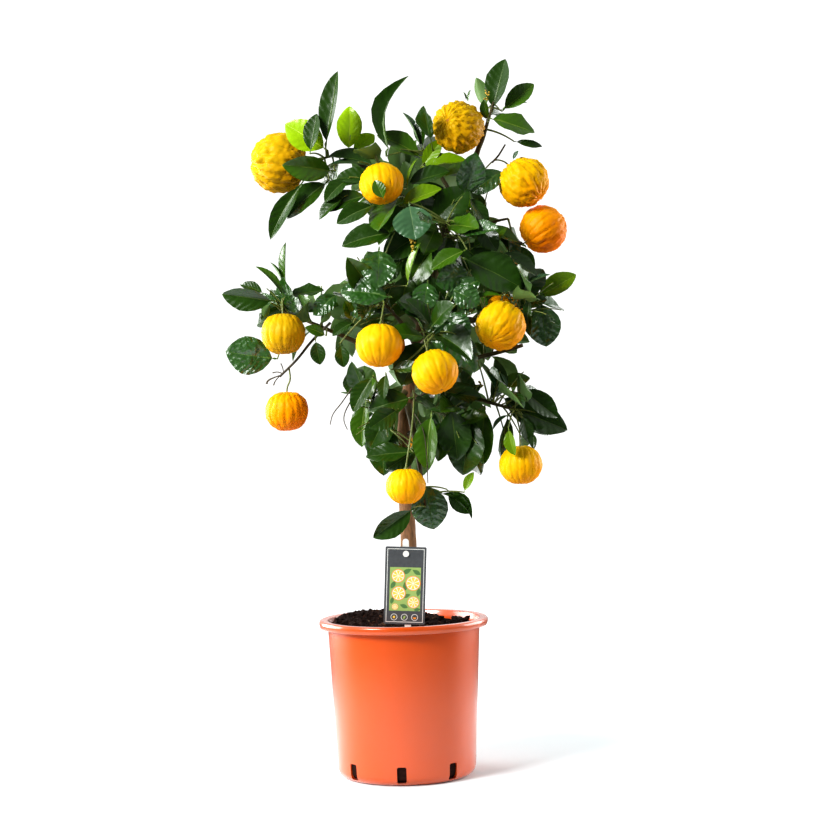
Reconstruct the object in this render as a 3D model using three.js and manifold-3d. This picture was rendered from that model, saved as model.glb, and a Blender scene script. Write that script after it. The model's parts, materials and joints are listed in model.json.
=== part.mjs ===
// A bitter orange tree in a plastic nursery pot, in millimetres, +Z up.
// The origin is the centre of the pot's flat underside. The label and most of the fruit are on the -Y side.
// One limb runs from the trunk into each mass of foliage: its lower stretch is the bough, the rest the stem.
// Twigs, leaves and fruit grow from that stem by one seeded rule, and each mass keeps to its own space.
import * as THREE from "three";
import { mergeVertices } from "three/addons/utils/BufferGeometryUtils.js";
import Module from "manifold-3d";

const wasm = await Module();
wasm.setup();

const point = (x, y, z) => new THREE.Vector3(x, y, z);
const UP = point(0, 0, 1);
const TURN = 2 * Math.PI;
const GOLDEN_ANGLE = Math.PI * (3 - Math.sqrt(5));
const CLEARANCE = 0.3;
const WELD = 0.03;
const SMOOTHED = 0.02;

// Pot: an injection-moulded container with a rolled lip and slots round its foot.
const POT_HEIGHT = 204;
const POT_FOOT_RADIUS = 90;
const POT_CORNER = 12;
const POT_WALL = 2.2;
const POT_FLOOR = 4;
const POT_MOUTH_RADIUS = 99;
const LIP_RADIUS = 110;
const LIP_DEPTH = 10;
const LIP_PROFILE = [[-3, 0], [0, 4], [-1.5, 8.5], [-5, LIP_DEPTH]];
const MOUTH_CORNER = 1.5;
const SLOTS = 8;
const SLOT_WIDTH = 12;
const SLOT_LOW = 4;
const SLOT_HIGH = 25;
const SLOT_TURN = (-4 * Math.PI) / 180;
const ROUND = 28;

// Soil: bark compost, level with a few lumps.
const SOIL_LEVEL = 192;
const SOIL_SEED = 90210;
const SOIL_LUMPS = 7;
const LUMP_RADIUS = [9, 17];
const LUMP_HEIGHT = [5, 12];
const LUMPS_CLEAR_OF_TRUNK = 26;
const LUMPS_CLEAR_OF_LABEL = 38;
const LUMPS_CLEAR_OF_POT = 3;
const LUMP_SINK = 1;

// Trunk: one stem that leans right through the crown and ends under the top shoots.
const TRUNK_LINE = [
  [8, 0, SOIL_LEVEL + CLEARANCE],
  [9, 0, 300],
  [6, 0, 438],
  [15, 5, 507],
  [28, 9, 566],
  [48, 10, 639],
  [64, 5, 696],
  [84, 0, 745],
  [107, -5, 798],
  [121, -8, 832],
].map((p) => point(...p));
const TRUNK_FOOT_RADIUS = 11.6;
const TRUNK_TIP_RADIUS = 2.9;
const TRUNK_TAPER = 0.85;
const ROOT_FLARE = 4.5;
const ROOT_FLARE_HEIGHT = 10;
const TRUNK_SIDES = 10;
const TRUNK_STEPS = 18;

// Boughs and twigs.
const BOUGH_RADIUS = 4.8;
const BOUGH_TAPER = 0.8;
const SHORTEST_BOUGH = 0.3;
const BOUGH_END_STEP = 0.02;
const STEM_RADIUS = 2.7;
const STEM_TIP_RADIUS = 1.7;
const BOUGH_SIDES = 5;
const BOUGH_STEPS = 4;
const TWIG_RADIUS = 1.7;
const TWIG_TIP_RADIUS = 1.2;
const STEM_SIDES = 4;
const STEM_STEPS = 3;
const TWIG_SIDES = 3;
const TWIG_STEPS = 2;
const STALK_RADIUS = 1.5;
const STALK_STEPS = 3;
const STALK_SUNK = 4;
const STALK_HANG = 0.6;
const TWIG_ARCHES = [0.12, 0.35, -0.15];
const TWIG_OVERSHOOT = 1.5;
const LEAF_SPACING = 24;
const LIMB_CLEAR = 1;
const GROWTH_SEED = 7019;
const SEED_STEP = 613;

// Leaves: a six-sided blade, folded along the middle. Its shares are of its length.
const LEAF_SHOULDERS = [[0.28, 0.19], [0.68, 0.175]];
const LEAF_FOLD = 0.07;
const LEAF_THICKNESS = 1.4;
const LEAF_TILT = 0.6;
const LEAF_ROOT = 0.6;
const PETIOLE = 7;
const SHY = 4;
const SHORTEST_LEAF = 0.5;
const SIDE_LEAF = { forward: 0.6, least: 0.7, spread: 0.25 };
const FILL_LEAF = { along: 0.85, forward: 0.95, back: 1.45, outwards: 0.35, least: 0.84, spread: 0.3 };
const FACING = { out: 0.5, front: 0.5, up: 0.55, middle: 25 };
const OUTLINE_FACING = [0, -1, 0.4];
const CROWN_AXIS = [400, 800];

// Fruit: flattened, with deep ribs from stalk to tip.
const FRUIT_RIBS = 8;
const FRUIT_RINGS = 5;
const FRUIT_GROOVE = 0.12;
const FRUIT_FLATTENED = 0.9;
const FRUIT_DIMPLE = 0.05;
const FRUIT_CLEAR = 1.5;
const HANGING = [0, 0, -1];

// Label: a card on the peg of a narrow stake. The card hangs a little askew.
const CARD = { width: 52, height: 98, thickness: 0.9, corner: 2, hole: 3.3, holeDrop: 9 };
const CARD_TURN = (3 * Math.PI) / 180;
const STAKE = { width: 8, thickness: 1.8, foot: 128, top: 313 };
const PEG = { radius: 2.5, capRadius: 4, at: point(6, -84, 294) };

// The masses. height: where the limb leaves the trunk; heart: where the stem ends; site: the middle, where
// that is elsewhere; arch: how far the limb rises, as a share of its length; leaf: usual length; fruit:
// [centre, diameter, way from stalk to tip]; fill: how many leaves spiral up the stem.
const MASSES = [
  {
    name: "top_left", height: 640, heart: [-88, 0, 806], site: [-112, 0, 768], arch: 0.5, leaf: 82,
    fruit: [[[-147, 0, 801], 77, [-1, 0, 0.05]]],
    fill: 9,
  },
  {
    name: "top_middle", height: 680, heart: [-10, -35, 764], arch: 0.3, leaf: 86,
    fruit: [[[-13, -70, 763], 56, [0.2, -0.3, -0.9]]],
    fill: 14,
  },
  {
    name: "top_centre", height: 742, heart: [42, -8, 810], arch: 0.1, leaf: 72,
    fruit: [],
    fill: 6,
  },
  {
    name: "tip", height: Infinity, heart: [134, -8, 872], arch: 0, leaf: 60,
    fruit: [[[87, -25, 838], 67, [-0.46, -0.87, 0.19]]],
    fill: 6,
  },
  {
    name: "right_upper", height: 690, heart: [150, 10, 722], arch: 0.1, leaf: 66,
    fruit: [[[171, 0, 768], 65, [0.6, -0.2, -0.75]], [[196, 20, 708], 63, [0.79, 0.2, 0.58]]],
    fill: 16,
  },
  {
    name: "upper_front", height: 665, heart: [68, -62, 712], arch: 0.12, leaf: 80,
    fruit: [],
    fill: 18,
  },
  {
    name: "middle_left", height: 560, heart: [-28, -62, 625], arch: 0.1, leaf: 84,
    fruit: [[[-20, -125, 557], 59, [-0.03, -0.2, -0.98]], [[-16, -63, 558], 55, HANGING]],
    fill: 20,
  },
  {
    name: "left", height: 530, heart: [-148, -18, 608], arch: 0.02, leaf: 66,
    fruit: [[[-144, -50, 577], 57, HANGING], [[-142, -45, 478], 55, HANGING]],
    fill: 10,
  },
  {
    name: "right", height: 572, heart: [170, -44, 598], arch: 0.04, leaf: 74,
    fruit: [[[133, -80, 579], 63, [-0.48, -0.59, -0.66]], [[143, 6, 598], 56, HANGING]],
    fill: 14,
  },
  {
    name: "front", height: 545, heart: [50, -92, 572], arch: 0.1, leaf: 80,
    fruit: [[[48, -135, 522], 58, [0.3, -0.4, -0.85]]],
    fill: 20,
  },
  {
    name: "low_left", height: 500, heart: [-22, -36, 458], arch: 0.15, leaf: 86,
    fruit: [],
    fill: 12,
  },
  {
    name: "low_right", height: 520, heart: [150, -30, 472], arch: -0.02, leaf: 82,
    fruit: [[[155, -55, 402], 55, HANGING]],
    fill: 10,
  },
  {
    name: "low_middle", height: 497, heart: [80, -38, 452], arch: 0.04, leaf: 84,
    fruit: [],
    fill: 12,
  },
  {
    name: "skirt", height: 485, heart: [32, -64, 352], arch: 0.2, leaf: 68,
    fruit: [[[8, -95, 380], 50, HANGING]],
    fill: 0,
  },
  {
    name: "back_top", height: 705, heart: [30, 70, 768], arch: 0.15, leaf: 84,
    fruit: [],
    fill: 17,
  },
  {
    name: "back_upper", height: 655, heart: [92, 85, 690], arch: 0.1, leaf: 80,
    fruit: [[[72, 130, 676], 58, HANGING]],
    fill: 18,
  },
  {
    name: "back_left", height: 585, heart: [-20, 85, 625], arch: 0.12, leaf: 82,
    fruit: [[[-22, 128, 585], 57, HANGING]],
    fill: 17,
  },
  {
    name: "back_middle", height: 565, heart: [62, 112, 582], arch: 0.1, leaf: 80,
    fruit: [],
    fill: 17,
  },
  {
    name: "back_right", height: 592, heart: [128, 62, 590], arch: 0.08, leaf: 76,
    fruit: [[[141, 94, 580], 57, HANGING]],
    fill: 15,
  },
  {
    name: "back_low", height: 520, heart: [42, 72, 475], arch: 0.12, leaf: 84,
    fruit: [[[20, 108, 448], 56, HANGING]],
    fill: 18,
  },
];

// Leaves of the outline: x and z of the root, x and z of the tip, and y. Each grows in the nearest mass.
const OUTLINE_LEAVES = [
  [-90, 815, -73, 911, -12], [-94, 812, -131, 841, -32], [-105, 816, -102, 852, 14],
  [-54, 814, -67, 870, -8], [-39, 807, -33, 841, 20], [-18, 792, 18, 897, -22],
  [-76, 782, -136, 794, -52], [-87, 781, -139, 732, 8], [-116, 772, -161, 701, -25],
  [-21, 741, -74, 719, -48], [6, 716, -68, 690, -40], [38, 806, -11, 838, 10], [41, 813, 37, 859, 0],
  [38, 788, 97, 799, -15], [12, 722, 50, 704, -100], [66, 760, 100, 730, -28], [132, 859, 148, 929, -8],
  [124, 878, 115, 912, 12], [146, 865, 186, 896, 0], [143, 866, 179, 878, 22],
  [128, 844, 179, 836, -25], [152, 823, 191, 818, 10], [100, 774, 139, 771, -30],
  [157, 689, 184, 655, 15], [182, 616, 235, 647, -12], [187, 609, 190, 554, -40],
  [-154, 620, -224, 628, -30], [-141, 615, -177, 599, -5], [-142, 624, -176, 667, -35],
  [-142, 639, -144, 697, -10], [-141, 626, -92, 635, -20], [-158, 549, -222, 557, 0],
  [-103, 568, -98, 536, -50], [-72, 563, -68, 532, -40], [-3, 617, -68, 629, -95],
  [0, 635, -38, 663, -80], [-36, 521, -59, 479, -30], [-41, 489, -50, 429, -30],
  [-2, 475, -41, 438, -70], [17, 424, -42, 418, -62], [4, 431, -19, 398, -20], [70, 484, 71, 405, -40],
  [95, 470, 80, 390, -48], [61, 497, 107, 490, -70], [157, 499, 205, 464, -45],
  [141, 474, 219, 445, -20], [130, 504, 173, 514, 0], [16, 349, -34, 313, -80], [36, 380, 37, 327, -62],
  [62, 368, 89, 333, -40], [84, 368, 94, 391, -48], [39, 812, 14, 862, -34], [87, 668, 161, 629, -62],
  [98, 679, 145, 708, -35], [38, 467, 26, 398, -62], [113, 535, 103, 561, -20], [10, 733, 63, 760, -78],
  [-99, 617, -72, 612, -45], [120, 640, 178, 668, -85], [70, 700, 30, 655, -118],
];

// A cut-off side limb that carries nothing.
const BARE_LIMB = { name: "bough_bare", height: 530, end: [161, -58, 554], arch: -0.05, radii: [4, 2.4] };

const material = (color, roughness) => new THREE.MeshStandardMaterial({ color, roughness, metalness: 0 });
const PLASTIC = material(0xe0602c, 0.38);
const COMPOST = material(0x2e211b, 0.95);
const BARK = material(0x96714a, 0.85);
const FOLIAGE = material(0x2f5a1d, 0.4);
const CARD_FINISH = material(0x2b2d2e, 0.5);
const STAKE_FINISH = material(0xf1f1ee, 0.5);

// A closed three.js geometry as a solid.
function solid(geometry) {
  const bare = geometry.clone();
  bare.deleteAttribute("normal");
  bare.deleteAttribute("uv");
  const merged = mergeVertices(bare, 1e-4);
  return new wasm.Manifold(
    new wasm.Mesh({
      numProp: 3,
      vertProperties: new Float32Array(merged.attributes.position.array),
      triVerts: new Uint32Array(merged.index.array),
    }),
  );
}

// The same solid without edges shorter than the weld, where that leaves it whole.
function welded(made) {
  const { vertProperties, triVerts } = made.getMesh();
  const place = (i) => point(...vertProperties.subarray(3 * i, 3 * i + 3));
  const kept = Array.from({ length: vertProperties.length / 3 }, (_, i) => i);
  const find = (i) => (kept[i] === i ? i : find(kept[i]));
  const corners = (t) => [find(triVerts[t]), find(triVerts[t + 1]), find(triVerts[t + 2])];
  for (let t = 0; t < triVerts.length; t += 3) {
    for (const [i, j] of [[0, 1], [1, 2], [2, 0]]) {
      const corner = corners(t);
      const short = place(corner[i]).distanceTo(place(corner[j])) < WELD;
      if (short) kept[corner[j]] = corner[i];
    }
  }
  const faces = [];
  for (let t = 0; t < triVerts.length; t += 3) {
    const corner = corners(t);
    if (new Set(corner).size === 3) faces.push(...corner);
  }
  try {
    return new wasm.Manifold(new wasm.Mesh({ numProp: 3, vertProperties, triVerts: new Uint32Array(faces) }));
  } catch {
    return made;
  }
}

// A solid as a named mesh.
function node(name, made, finish) {
  const { vertProperties, triVerts } = welded(made).getMesh();
  const geometry = new THREE.BufferGeometry();
  geometry.setAttribute("position", new THREE.BufferAttribute(new Float32Array(vertProperties), 3));
  geometry.setIndex(new THREE.BufferAttribute(new Uint32Array(triVerts), 1));
  const mesh = new THREE.Mesh(geometry, finish);
  mesh.name = name;
  return mesh;
}

// The same stream of numbers from 0 to 1 for the same seed.
function randomFrom(seed) {
  let state = seed;
  return () => {
    state = (state * 16807) % 2147483647;
    return state / 2147483647;
  };
}

// A tube along a curve, its ends flat: a cylinder whose rings are laid along the curve.
function tube(curve, radiusAt, sides, steps) {
  const geometry = new THREE.CylinderGeometry(1, 1, 1, sides, steps);
  const { normals, binormals } = curve.computeFrenetFrames(steps);
  const position = geometry.attributes.position;
  for (let i = 0; i < position.count; i += 1) {
    const along = 0.5 - position.getY(i);
    const ring = Math.round(along * steps);
    const radius = radiusAt(along);
    const placed = curve
      .getPointAt(along)
      .addScaledVector(normals[ring], position.getX(i) * radius)
      .addScaledVector(binormals[ring], position.getZ(i) * radius);
    position.setXYZ(i, ...placed);
  }
  return solid(geometry);
}

const taper = (from, to, power = 1) => (along) => to + (from - to) * (1 - along) ** power;

// A bend between two points that passes off the straight line by a share of its length.
function bend(from, to, arch) {
  const middle = from.clone().lerp(to, 0.5);
  return new THREE.QuadraticBezierCurve3(from, middle.addScaledVector(UP, arch * from.distanceTo(to)), to);
}

// The stretch of a quadratic curve between two shares of it.
function stretch(curve, from, to) {
  const start = curve.getPoint(from);
  const end = curve.getPoint(to);
  const slope = curve.v0.clone().lerp(curve.v1, from);
  const middle = slope.lerp(curve.v1.clone().lerp(curve.v2, from), to);
  return new THREE.QuadraticBezierCurve3(start, middle, end);
}

// A profile of radii and heights turned about the upright axis.
function turned(profile) {
  const geometry = new THREE.LatheGeometry(profile.map((p) => new THREE.Vector2(...p)), ROUND);
  geometry.rotateX(Math.PI / 2);
  return solid(geometry);
}

// The rounded corner between a flat base and a wall.
function foot(radius, low, corner) {
  return [0, 45, 90].map((degrees) => {
    const angle = (degrees * Math.PI) / 180;
    return [radius - corner + corner * Math.sin(angle), low + corner - corner * Math.cos(angle)];
  });
}

// Pot
const LIP_LOW = POT_HEIGHT - LIP_DEPTH;
const wallRadius = (height) =>
  POT_FOOT_RADIUS + ((POT_MOUTH_RADIUS - POT_FOOT_RADIUS) * (height - POT_CORNER)) / (LIP_LOW - POT_CORNER);

function potSolid() {
  const inside = POT_CORNER - POT_WALL;
  const shell = turned([
    [0, 0],
    ...foot(POT_FOOT_RADIUS, 0, POT_CORNER),
    [wallRadius(LIP_LOW), LIP_LOW],
    ...LIP_PROFILE.map(([out, up]) => [LIP_RADIUS + out, LIP_LOW + up]),
    [wallRadius(POT_HEIGHT) - POT_WALL + MOUTH_CORNER, POT_HEIGHT - MOUTH_CORNER],
    [wallRadius(LIP_LOW) - POT_WALL, LIP_LOW],
    ...foot(POT_FOOT_RADIUS - POT_WALL, POT_FLOOR, inside).reverse(),
    [0, POT_FLOOR],
  ]);
  const slots = [];
  for (let i = 0; i < SLOTS; i += 1) {
    const cut = new THREE.BoxGeometry(SLOT_WIDTH, POT_CORNER * 2, SLOT_HIGH - SLOT_LOW);
    cut.translate(0, -POT_FOOT_RADIUS, (SLOT_HIGH + SLOT_LOW) / 2);
    cut.rotateZ(SLOT_TURN + (i * TURN) / SLOTS);
    slots.push(solid(cut));
  }
  return shell.subtract(wasm.Manifold.union(slots));
}

// Soil
function soilSolid(stakeSlot) {
  const gap = POT_WALL + CLEARANCE;
  const inside = POT_CORNER - POT_WALL;
  const body = turned([
    [0, POT_FLOOR + CLEARANCE],
    ...foot(POT_FOOT_RADIUS - gap, POT_FLOOR + CLEARANCE, inside),
    [wallRadius(SOIL_LEVEL) - gap, SOIL_LEVEL],
    [0, SOIL_LEVEL],
  ]);
  const random = randomFrom(SOIL_SEED);
  const lumps = [];
  while (lumps.length < SOIL_LUMPS) {
    const radius = LUMP_RADIUS[0] + (LUMP_RADIUS[1] - LUMP_RADIUS[0]) * random();
    const height = LUMP_HEIGHT[0] + (LUMP_HEIGHT[1] - LUMP_HEIGHT[0]) * random();
    const angle = TURN * random();
    const out = (POT_MOUTH_RADIUS - gap - radius - LUMPS_CLEAR_OF_POT) * Math.sqrt(random());
    const place = point(out * Math.cos(angle), out * Math.sin(angle), SOIL_LEVEL - LUMP_SINK);
    const clearOfTrunk = place.distanceTo(TRUNK_LINE[0]) > LUMPS_CLEAR_OF_TRUNK + radius / 2;
    const clearOfLabel = Math.hypot(place.x - PEG.at.x, place.y - PEG.at.y) > LUMPS_CLEAR_OF_LABEL;
    if (!clearOfTrunk || !clearOfLabel) continue;
    const lump = new THREE.SphereGeometry(1, 7, 4);
    lump.scale(radius, height, radius);
    lump.rotateX(Math.PI / 2);
    lump.translate(...place);
    lumps.push(solid(lump));
  }
  return wasm.Manifold.union([body, ...lumps]).subtract(stakeSlot);
}

// Label. Both pieces are drawn about the peg, and stood up facing -Y.
function stoodAtPeg(geometry, turn = 0) {
  geometry.rotateX(Math.PI / 2);
  geometry.rotateY(turn);
  geometry.translate(...PEG.at);
  return solid(geometry);
}

function cardSolid() {
  const { width, height, thickness, corner, hole, holeDrop } = CARD;
  const outline = new THREE.Shape();
  const side = width / 2 - corner;
  const top = holeDrop - corner;
  const low = holeDrop - height + corner;
  outline.absarc(side, low, corner, -Math.PI / 2, 0);
  outline.absarc(side, top, corner, 0, Math.PI / 2);
  outline.absarc(-side, top, corner, Math.PI / 2, Math.PI);
  outline.absarc(-side, low, corner, Math.PI, 1.5 * Math.PI);
  const opening = new THREE.Path();
  opening.absarc(0, 0, hole, 0, TURN, true);
  outline.holes.push(opening);
  const settings = { depth: thickness, bevelEnabled: false, curveSegments: 4 };
  return stoodAtPeg(new THREE.ExtrudeGeometry(outline, settings), CARD_TURN);
}

// The bar of the stake, behind the card; grown makes it fatter, for the slot in the soil.
function stakeBar(grown = 0) {
  const side = STAKE.width / 2 + grown;
  const low = STAKE.foot - PEG.at.z - grown;
  const top = STAKE.top - PEG.at.z - side;
  const outline = new THREE.Shape();
  outline.moveTo(0, low);
  outline.lineTo(side, low + STAKE.width);
  outline.absarc(0, top, side, 0, Math.PI);
  outline.lineTo(-side, low + STAKE.width);
  const settings = { depth: STAKE.thickness + 2 * grown, bevelEnabled: false, curveSegments: 8 };
  const bar = new THREE.ExtrudeGeometry(outline, settings);
  bar.translate(0, 0, -STAKE.thickness - CLEARANCE - grown);
  return stoodAtPeg(bar);
}

function stakeSolid() {
  const disc = (radius, from, to) => {
    const made = new THREE.CylinderGeometry(radius, radius, to - from, 12);
    made.rotateX(Math.PI / 2);
    made.translate(0, 0, (from + to) / 2);
    return stoodAtPeg(made);
  };
  const front = CARD.thickness + CLEARANCE;
  return wasm.Manifold.union([
    stakeBar(),
    disc(PEG.radius, -CLEARANCE - 1, front + 0.6),
    disc(PEG.capRadius, front, front + 1.2),
  ]);
}

// Trunk
const trunkCurve = new THREE.CatmullRomCurve3(TRUNK_LINE, false, "centripetal");
const trunkLength = trunkCurve.getLength();
const trunkTaper = taper(TRUNK_FOOT_RADIUS, TRUNK_TIP_RADIUS, TRUNK_TAPER);
const trunkRadius = (along) =>
  trunkTaper(along) + ROOT_FLARE * Math.exp((-along * trunkLength) / ROOT_FLARE_HEIGHT);
const trunkSolid = (grown) =>
  tube(trunkCurve, (along) => trunkRadius(along) + grown, TRUNK_SIDES, TRUNK_STEPS);

function trunkPointAt(height) {
  if (height === Infinity) return trunkCurve.getPoint(1);
  let low = 0;
  let high = 1;
  for (let i = 0; i < 40; i += 1) {
    const middle = (low + high) / 2;
    if (trunkCurve.getPoint(middle).z < height) low = middle;
    else high = middle;
  }
  return trunkCurve.getPoint(low);
}

// Leaf: root, tip, the underside's middle, then left and right at each shoulder.
function leafPoints({ root, way, face, length }) {
  const side = face.clone().cross(way);
  const at = (along, across, lift) =>
    root
      .clone()
      .addScaledVector(way, length * along)
      .addScaledVector(side, length * across)
      .addScaledVector(face, lift);
  const shoulders = LEAF_SHOULDERS.flatMap(([along, across]) => [
    at(along, across, length * LEAF_FOLD),
    at(along, -across, length * LEAF_FOLD),
  ]);
  return [root, at(1, 0, 0), at(0.5, 0, -LEAF_THICKNESS), ...shoulders];
}
const LEAF_FACES = [
  [0, 1, 3], [1, 5, 3], [1, 0, 4], [1, 4, 6],
  [0, 3, 2], [3, 5, 2], [5, 1, 2], [4, 0, 2], [6, 4, 2], [1, 6, 2],
];

function leafSolid(leaf) {
  return new wasm.Manifold(
    new wasm.Mesh({
      numProp: 3,
      vertProperties: new Float32Array(leafPoints(leaf).flatMap((p) => [p.x, p.y, p.z])),
      triVerts: new Uint32Array(LEAF_FACES.flat()),
    }),
  );
}

// Fruit: a sphere with its poles drawn in and its meridians ribbed.
function fruitSolid({ centre, radius, way }) {
  const geometry = new THREE.SphereGeometry(1, FRUIT_RIBS * 2, FRUIT_RINGS);
  const position = geometry.attributes.position;
  for (let i = 0; i < position.count; i += 1) {
    const p = point(position.getX(i), position.getY(i), position.getZ(i));
    const out = Math.hypot(p.x, p.z);
    const rib = 1 - FRUIT_GROOVE * (0.5 - 0.5 * Math.cos(FRUIT_RIBS * Math.atan2(p.z, p.x))) * out;
    const height = p.y * FRUIT_FLATTENED * (1 - FRUIT_DIMPLE * (1 - out) ** 3);
    position.setXYZ(i, p.x * rib * radius, height * radius, p.z * rib * radius);
  }
  geometry.applyQuaternion(new THREE.Quaternion().setFromUnitVectors(point(0, -1, 0), way));
  geometry.translate(...centre);
  return solid(geometry);
}

// A mass's own space: nearer to its site than to any other's.
const sites = MASSES.map(({ heart, site }) => point(...(site ?? heart)));
function inOwnSpace(index, p, margin) {
  const own = sites[index];
  return sites.every((other, i) => {
    if (i === index) return true;
    const depth = (p.distanceToSquared(other) - p.distanceToSquared(own)) / (2 * own.distanceTo(other));
    return depth > margin;
  });
}

const nearestSite = (p) =>
  sites.reduce((best, site, i) => (p.distanceTo(site) < p.distanceTo(sites[best]) ? i : best), 0);

// How far it is from a place in a mass's space to the edge of that space.
function spaceAlong(index, from, way) {
  const own = sites[index];
  let far = Infinity;
  for (const other of sites) {
    const across = other.clone().sub(own);
    const slope = across.dot(way);
    if (slope <= 0) continue;
    const middle = own.clone().lerp(other, 0.5);
    far = Math.min(far, middle.sub(from).dot(across) / slope);
  }
  return far;
}

// The limbs. Each ends at its mass's heart, and the bough is the stretch before it enters the mass's space.
MASSES.forEach((mass, index) => {
  mass.limb = bend(trunkPointAt(mass.height), point(...mass.heart), mass.arch);
  mass.enters = 1;
  const before = () => mass.limb.getPoint(mass.enters - BOUGH_END_STEP);
  while (mass.enters > SHORTEST_BOUGH && inOwnSpace(index, before(), BOUGH_RADIUS)) {
    mass.enters -= BOUGH_END_STEP;
  }
});
const trunk = trunkSolid(0);
const boughs = [];
for (const { name, height, limb, enters } of MASSES) {
  if (height === Infinity) continue;
  const radiusAt = taper(BOUGH_RADIUS, STEM_RADIUS, BOUGH_TAPER);
  const made = tube(stretch(limb, 0, enters), radiusAt, BOUGH_SIDES, BOUGH_STEPS);
  boughs.push({ name: `bough_${name}`, made });
}
const bareLine = bend(trunkPointAt(BARE_LIMB.height), point(...BARE_LIMB.end), BARE_LIMB.arch);
const bareLimb = tube(bareLine, taper(...BARE_LIMB.radii), BOUGH_SIDES, BOUGH_STEPS);
boughs.push({ name: BARE_LIMB.name, made: bareLimb });

// Twigs and leaves keep clear of the limbs and of every fruit.
for (const mass of MASSES) {
  mass.fruits = mass.fruit.map(([centre, diameter, way]) => {
    return { centre: point(...centre), radius: diameter / 2, way: point(...way).normalize() };
  });
}
const fruits = MASSES.flatMap((mass) => mass.fruits);
const fruitSpheres = fruits.map(({ centre, radius }) => {
  const sphere = new THREE.SphereGeometry(radius + FRUIT_CLEAR, 16, 8);
  sphere.translate(...centre);
  return solid(sphere);
});
const limbs = [trunkSolid(LIMB_CLEAR), ...boughs.map(({ made }) => made)];
const obstacles = wasm.Manifold.union([...limbs, ...fruitSpheres]);

// A piece fits where it is clear of those and of the pieces of every other mass.
function fits(index, made) {
  if (!obstacles.intersect(made).isEmpty()) return false;
  const clear = ({ pieces }, i) => i === index || pieces.every((piece) => piece.intersect(made).isEmpty());
  return MASSES.every(clear);
}

// The way out of the crown at a place, level.
const crownAxis = (height) => trunkPointAt(Math.min(Math.max(height, CROWN_AXIS[0]), CROWN_AXIS[1]));
function outwards(p) {
  const out = p.clone().sub(crownAxis(p.z));
  out.z = 0;
  return out.normalize();
}

// Leaves look up and out, those on the front half more to the front, those behind more to the back.
function leafFacing(p) {
  const facing = outwards(p).multiplyScalar(FACING.out);
  return facing.add(point(0, p.y < FACING.middle ? -FACING.front : FACING.front, FACING.up));
}

// A leaf from a root, skipped where it doesn't fit or its blade would touch one before it. All but the leaves
// of the outline also keep to their mass's space.
function addLeaf(mass, root, way, length, facing, outline = false) {
  const { index, random, pieces, blades } = mass;
  const draw = point(random() - 0.5, random() - 0.5, random() - 0.5);
  const face = facing.addScaledVector(draw, LEAF_TILT);
  face.addScaledVector(way, -face.dot(way)).normalize();
  const leaf = { root, way, face, length };
  const inside = outline || leafPoints(leaf).every((p) => inOwnSpace(index, p, CLEARANCE));
  const middle = root.clone().addScaledVector(way, length / 2);
  const inFruit = fruits.some(({ centre, radius }) => middle.distanceTo(centre) < radius);
  if (!inside || inFruit) return false;
  const bladeRoot = root.clone().addScaledVector(way, PETIOLE);
  const blade = leafSolid({ root: bladeRoot, way, face, length: length - PETIOLE });
  if (!blades.every((other) => other.intersect(blade).isEmpty())) return false;
  const made = leafSolid(leaf);
  if (!fits(index, made)) return false;
  pieces.push(made);
  blades.push(blade);
  return true;
}

function nearestOnStem({ stem }, target) {
  let nearest = stem.getPoint(1);
  for (let i = 5; i < 40; i += 1) {
    const p = stem.getPoint(i / 40);
    if (p.distanceTo(target) < nearest.distanceTo(target)) nearest = p;
  }
  return nearest;
}

// An outline leaf on a twig of its own from the stem, with smaller leaves along the twig.
function addOutlineLeaf(mass, [rootX, rootZ, tipX, tipZ, y]) {
  const { index, random, pieces } = mass;
  const root = point(rootX, y, rootZ);
  const way = point(tipX, y, tipZ).sub(root);
  const length = way.length();
  way.normalize();
  const start = nearestOnStem(mass, root);
  const twigWay = root.clone().sub(start);
  const twigLength = twigWay.length();
  const end = root.clone().addScaledVector(twigWay.normalize(), TWIG_OVERSHOOT);
  const twigs = TWIG_ARCHES.map((arch) => bend(start, end, arch));
  const twig = twigs.find((curve) => fits(index, tube(curve, () => TWIG_RADIUS, TWIG_SIDES, TWIG_STEPS)));
  root.addScaledVector(way, -LEAF_ROOT);
  if (!twig || !addLeaf(mass, root, way, length, point(...OUTLINE_FACING), true)) return;
  pieces.push(tube(twig, taper(TWIG_RADIUS, TWIG_TIP_RADIUS), TWIG_SIDES, TWIG_STEPS));
  const phase = TURN * random();
  const count = Math.floor(twigLength / LEAF_SPACING);
  for (let k = 0; k < count; k += 1) {
    const share = 1 - (k + 0.5) / (count + 0.5);
    const sideWay = spiralWay(twig.getTangent(share), phase + k * GOLDEN_ANGLE, SIDE_LEAF.forward);
    const side = twig.getPoint(share).addScaledVector(sideWay, LEAF_ROOT);
    const sideLength = mass.leaf * (SIDE_LEAF.least + SIDE_LEAF.spread * random());
    addLeaf(mass, side, sideWay, sideLength, leafFacing(side));
  }
}

// The way of a leaf that leaves a stem at an angle round it, leaning forward along it.
function spiralWay(tangent, angle, forward) {
  const level = tangent.clone().cross(UP).normalize();
  const across = level.clone().cross(tangent);
  const way = level.multiplyScalar(Math.cos(angle)).addScaledVector(across, Math.sin(angle));
  return way.multiplyScalar(Math.sqrt(1 - forward * forward)).addScaledVector(tangent, forward);
}

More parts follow.
